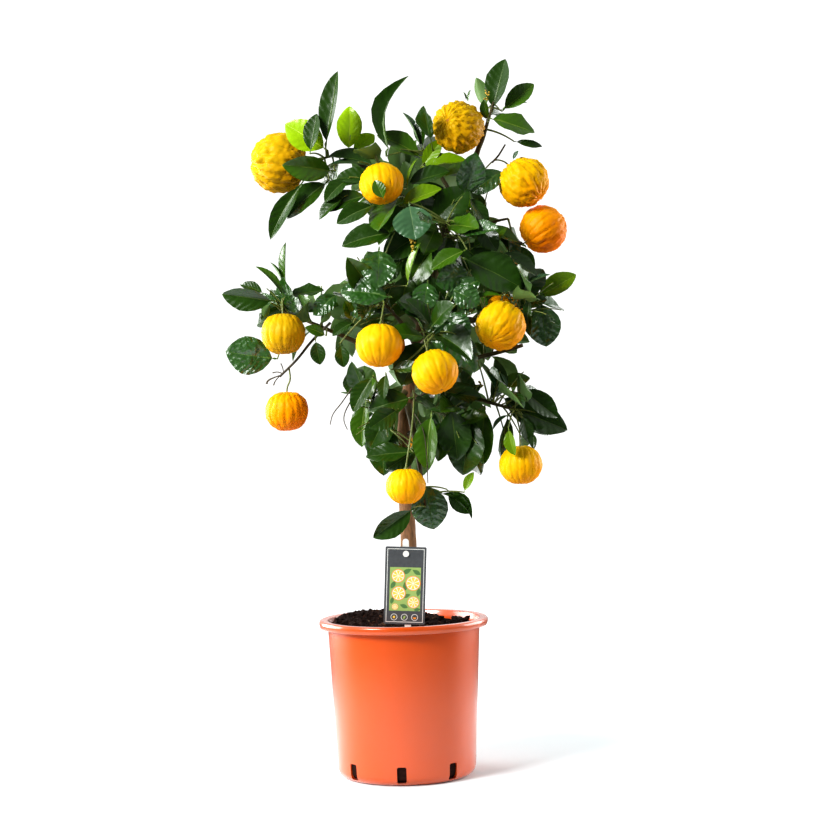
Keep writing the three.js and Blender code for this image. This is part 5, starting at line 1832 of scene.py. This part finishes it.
def spray_group():
    """Sets a leaf on each point, of the shape, turn and length that the point names."""
    sockets = {"Leaves": "Collection", "Blade": "Material", "Rib": "Material", "Underside": "Material"}
    group, nodes, inputs = node_group("leaf_sprays", sockets)
    named = {}
    for name, kind in (("shape", "INT"), ("turn", "FLOAT_VECTOR"), ("size", "FLOAT"), ("part", "INT")):
        named[name] = nodes.add("GeometryNodeInputNamedAttribute", {"data_type": kind}, {"Name": name})
    shapes = nodes.add("GeometryNodeCollectionInfo", sockets={
        "Collection": inputs["Leaves"], "Separate Children": True, "Reset Children": True,
    })
    points = nodes.add("GeometryNodeMeshToPoints", sockets={"Mesh": inputs["Geometry"]})
    laid = nodes.add("GeometryNodeInstanceOnPoints", sockets={
        "Points": points, "Instance": shapes, "Pick Instance": True, "Instance Index": named["shape"],
        "Rotation": named["turn"], "Scale": named["size"],
    })
    made = nodes.add("GeometryNodeRealizeInstances", sockets={"Geometry": laid})
    for part, label in enumerate(("Blade", "Rib", "Underside")):
        chosen = nodes.add("FunctionNodeCompare", {"data_type": "INT", "operation": "EQUAL"}, {
            2: named["part"], 3: part,
        })
        made = nodes.add("GeometryNodeSetMaterial", sockets={
            "Geometry": made, "Selection": chosen, "Material": inputs[label],
        })
    nodes.plug(nodes.output.inputs[0], made)
    return group


# Painted shade: blade and rib are darkened in random patches towards this share of the blade's colour,
# standing in for shade within the leaves.
LEAF_PAINTED_SHADE = 0.6
UNDERSIDE = ((104, 134, 78), (88, 120, 64))
VEINS = 7
VEIN_RISE = 0.5
VEIN_WANDER = 0.22
VEIN_DEPTH = 1.5 * MM
# Colours of the blade and its rib, strength of the veins, fineness and rise of the puckers, coat and gloss.
LEAF_KINDS = {
    "dark": ((42, 76, 10), (88, 116, 34), 0.5, 95, 1.2, 0.55, 0.3),
    "crisp": ((48, 94, 26), (96, 132, 52), 1.0, 62, 4.5, 0.35, 0.9),
    "mid": ((68, 108, 12), (124, 150, 44), 0.38, 80, 1.2, 0.45, 0.25),
    "light": ((114, 152, 6), (164, 188, 54), 0.25, 60, 1.0, 0.3, 0.25),
    # pale: a grey-green blade. It is partly the leaf's own duller tone and partly painted sheen, the pale
    # reflection of bright surroundings on leaves seen at a slant.
    "pale": ((72, 114, 74), (122, 152, 100), 0.6, 75, 2.0, 0.2, 0.6),
    "young": ((168, 212, 12), (208, 232, 70), 0.3, 90, 1.0, 0.2, 0.25),
}
underside = Finish("leaf_underside", {"Roughness": 0.55, "Specular IOR Level": 0.3})
underside.feed({"Base Color": underside.mottle(60, 2, *UNDERSIDE)})
leaf_shapes = bpy.data.collections.new("leaf_shapes")
bpy.context.scene.collection.children.link(leaf_shapes)
for number, (name, numbers) in enumerate(SHAPES.items()):
    made = leaf_shape(f"leaf_{number}_{name}", *numbers)
    bpy.context.scene.collection.objects.unlink(made)
    leaf_shapes.objects.link(made)
spray_maker = spray_group()
foliage_nodes = [name for name in frame["nodes"] if name.startswith("foliage_")]
for kind, (blade_colour, rib_colour, veining, puckers, rise, coat, gloss) in LEAF_KINDS.items():
    rows = [leaf for leaf in leaves if leaf["kind"] == kind]
    blade_colour = srgb(*blade_colour)
    blade = Finish("leaf_" + kind, {
        "Coat Weight": coat, "Coat Roughness": 0.18, "Specular IOR Level": gloss,
    })
    # The blade colour darkened, for the painted shade patches on blade and rib.
    shade = (*[c * LEAF_PAINTED_SHADE for c in blade_colour[:3]], 1.0)
    spread = blade.add("ShaderNodeUVMap", {"uv_map": "UVMap"})
    across, along = (blade.add("ShaderNodeSeparateXYZ", sockets={0: spread}, output=axis) for axis in "XY")
    from_rib = across.math("ABSOLUTE", across - 0.5, 0.0)
    ripple = (along - from_rib * VEIN_RISE + blade.grain(38, 2) * VEIN_WANDER) * (2 * math.pi * VEINS)
    veins = ripple.math("SINE", ripple, 0.0) * from_rib + blade.grain(puckers, 2) * rise
    blade.feed({
        "Base Color": blade.mix(blade.grain(45, 3), blade_colour, shade),
        "Roughness": blade.grain(120, 2) * 0.15 + 0.25,
    })
    blade.bump(veins, VEIN_DEPTH, veining)
    rib = Finish("leaf_rib_" + kind, {"Roughness": 0.45})
    rib.feed({"Base Color": rib.mix(rib.grain(80, 2), srgb(*rib_colour), shade)})
    mesh = bpy.data.meshes.new("spray")
    mesh.from_pydata([tuple(leaf["root"] * MM) for leaf in rows], [], [])
    order = list(SHAPES)
    turns = []
    for leaf in rows:
        axes = Matrix((leaf["way"].cross(leaf["face"]), leaf["way"], leaf["face"])).transposed()
        turns += list(axes.to_euler())
    mark(mesh, "shape", "INT", "POINT", [order.index(leaf["shape"]) for leaf in rows])
    mark(mesh, "turn", "FLOAT_VECTOR", "POINT", turns)
    mark(mesh, "size", "FLOAT", "POINT", [leaf["length"] * MM for leaf in rows])
    piece = grown(put("spray", mesh), spray_maker, {
        "Leaves": leaf_shapes, "Blade": blade.material, "Rib": rib.material, "Underside": underside.material,
    }, "leaves_" + kind)
    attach(piece, "root")
    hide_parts(*foliage_nodes)
for shape in list(leaf_shapes.objects):
    bpy.data.objects.remove(shape)
bpy.data.collections.remove(leaf_shapes)
